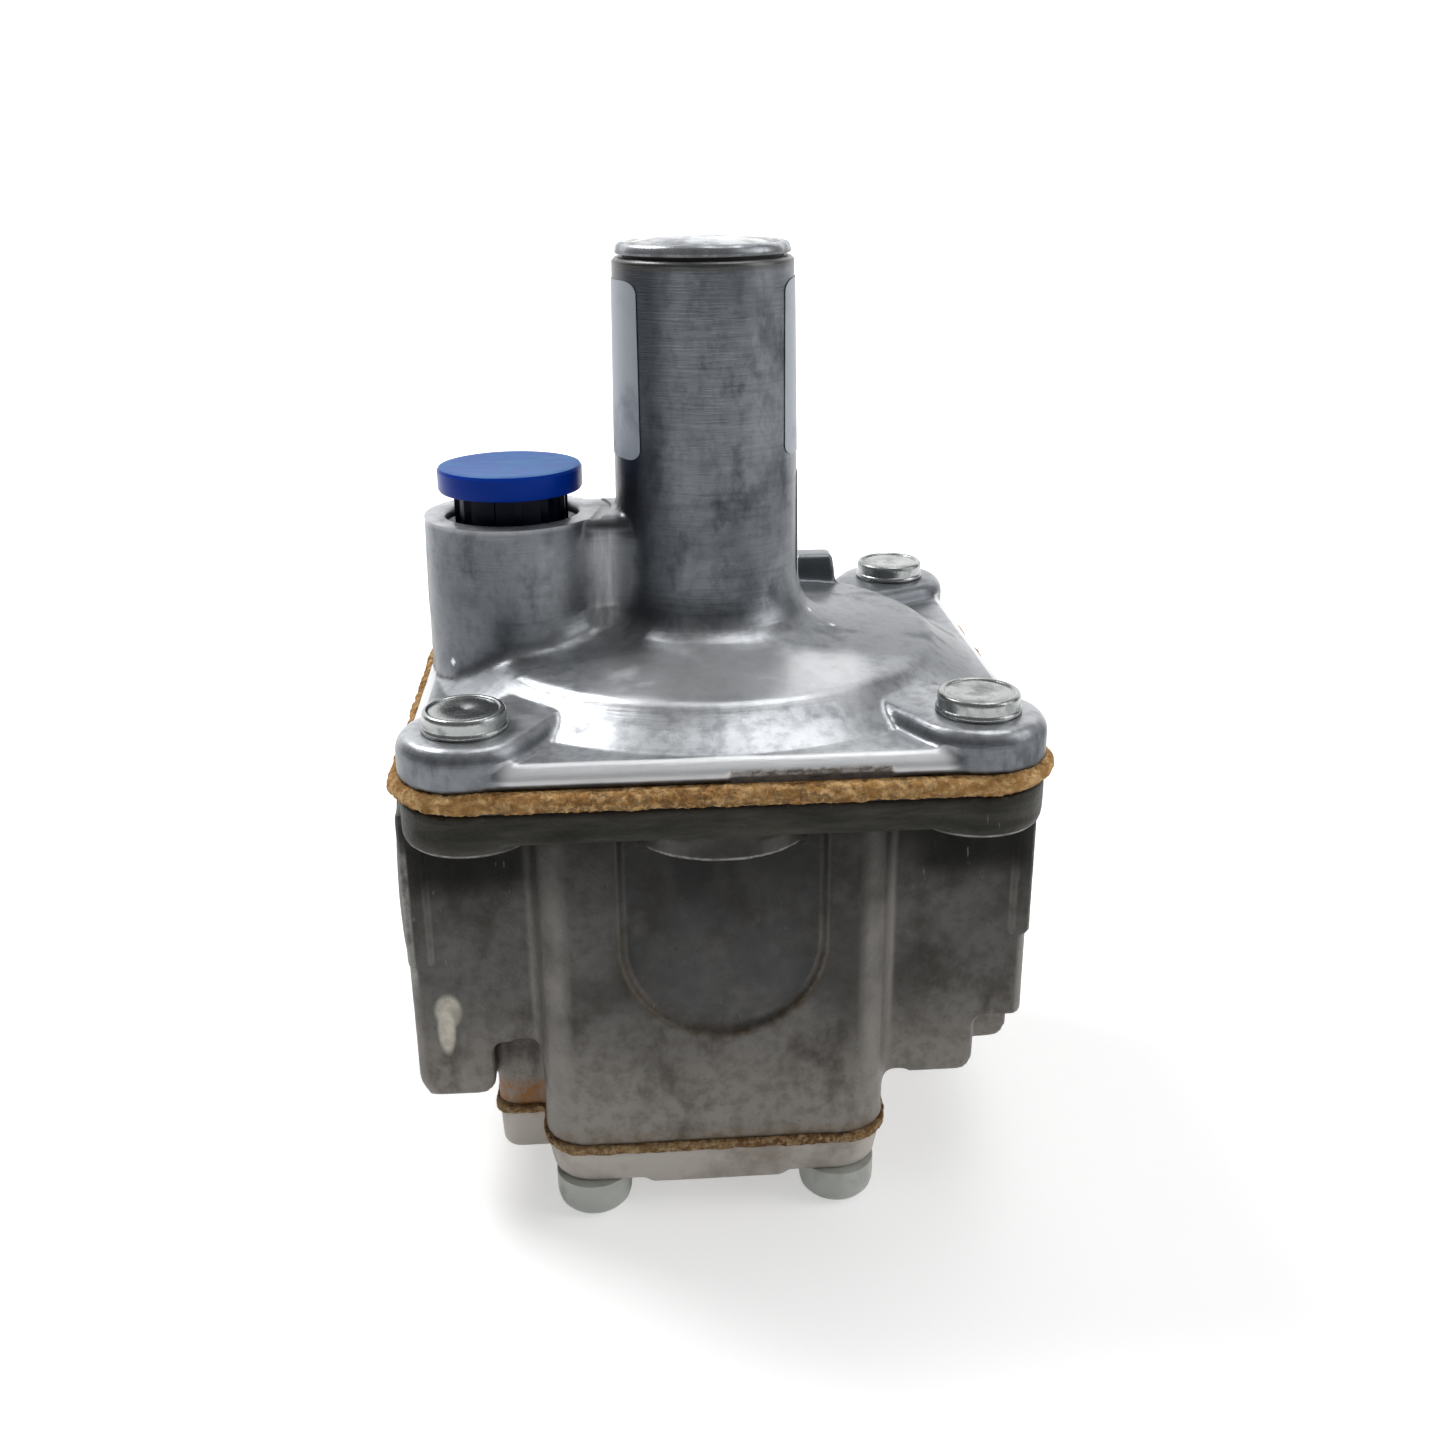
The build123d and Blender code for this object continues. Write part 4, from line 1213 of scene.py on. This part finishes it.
# the plug, with ribs round its neck
plug = {
    "outline": [
        (0, 98.35), (7.9, 98.4), (9.0, 98.52), (9.55, 98.4), (9.8, 98.05), (9.8, 95.6), (9.6, 95.25),
        (7.3, 95.2), (7.3, 89.7), (7.54, 89.2), (7.54, 88.4), (6.7, 85.0), (5.6, 85.0), (5.6, 94.5),
        (0, 94.5)],
    "ribs": {"count": 12, "first": 0.35, "reach": 7.18, "half": 0.55, "low": 88.0, "high": 95.3},
}


def makeVentPlug():
    ribs, half = plug["ribs"], plug["ribs"]["half"]
    parts = [turned("ventPlug", plug["outline"], (fit["bossX"], 0))]
    for index in range(ribs["count"]):
        angle = 2 * pi * (index + ribs["first"]) / ribs["count"]
        x, y = fit["bossX"] + ribs["reach"] * cos(angle), ribs["reach"] * sin(angle)
        parts.append(newBox("rib", (x - half, y - half, ribs["low"]), (x + half, y + half, ribs["high"])))
    finished(joined("ventPlug", parts), "blue_plastic", "shipping_plug", "vent_plug", 35)


# bare labels round the back of the tower, between two edges in degrees from the front; a label whose
# left edge is None starts at the middle of the back
labels = {
    "ratingLabel": {"low": 99.9, "high": 122.6, "left": -48, "right": 56, "corner": 1.6},
    "sideLabel": {"low": 80.5, "high": 97.2, "left": None, "right": 78, "corner": 1.0},
}
labelFilm = {"thick": 0.1, "steps": 192, "towerRadius": 12.67, "towerLow": 84.0, "narrowing": 0.66 / 40.2}


def towerRadius(height):
    return labelFilm["towerRadius"] - (height - labelFilm["towerLow"]) * labelFilm["narrowing"]


def makeLabel(name, label):
    low, high, far = label["low"], label["high"], 20
    inner = [(towerRadius(level), level) for level in (low, high)]
    outer = [(radius + labelFilm["thick"], level) for radius, level in inner]
    film = turned(name, [inner[0], *outer, inner[1], inner[0]], (0, 0), labelFilm["steps"])
    parts = []
    for side, edge in ((-1, label["left"]), (1, label["right"])):
        if edge is not None:
            near = towerRadius((low + high) / 2) * sin(radians(edge))
            left, right = sorted((near, side * far))
            part = newBox("keep", (left, -far, low), (right, 1, high))
            bevelWhere(part, lambda rim: abs(rim.verts[0].co.y - rim.verts[1].co.y) > mm
                       and abs(spot(rim).x) < far - 1, label["corner"], 6)
            parts.append(part)
    parts.append(newBox("keep", (0 if label["left"] is None else -far, 0, low), (far, far, high)))
    boolean(film, joined("keep", parts), "INTERSECT")
    finished(film, "label_film", "housing", None, 30)


makeSealCap()
makeVentPlug()
for labelName, labelSize in labels.items():
    makeLabel(labelName, labelSize)
print("cap, plug and labels made")

elastic = {
    "lift": 0.0044, "sheetRim": 0.0642, "sheetCentre": 0.0625, "springMiddle": 0.0818, "springTop": 0.1000}


def elasticCopy(node, name):
    # the CAD node's own mesh, merged, as a new piece
    piece = copied(cadNodes[node], name)
    edit(piece)
    bpy.ops.mesh.remove_doubles(threshold=0.001 * mm)
    leave()
    return piece


def makeElasticParts():
    middle = (0, 0, elastic["springMiddle"])
    lower = elasticCopy("main_spring", "mainSpringLower")
    upper = elasticCopy("main_spring", "mainSpringUpper")
    for half, isLower in ((lower, True), (upper, False)):
        edit(half)
        bpy.ops.mesh.bisect(
            plane_co=middle, plane_no=(0, 0, 1), use_fill=True, clear_outer=isLower, clear_inner=not isLower)
        leave()
        finished(half, "spring_steel", "housing" if isLower else None, "main_spring", 50)
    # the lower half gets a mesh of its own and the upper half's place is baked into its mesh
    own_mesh(lower)
    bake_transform(upper)
    # the diaphragm's sheet, a merged copy whose place is baked into its mesh
    sheet = elasticCopy("diaphragm", "diaphragmSheet")
    finished(sheet, "rubber_sheet", None, "diaphragm", 50)
    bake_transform(sheet)


def dressCadNodes():
    for part in frame["record"]["subparts"]:
        node = cadNodes[part["node"]]
        node.data.materials.clear()
        node.data.materials.append(looks[part["material_slot"]])


makeElasticParts()
print("elastic parts made")
dressCadNodes()
print("CAD nodes dressed")
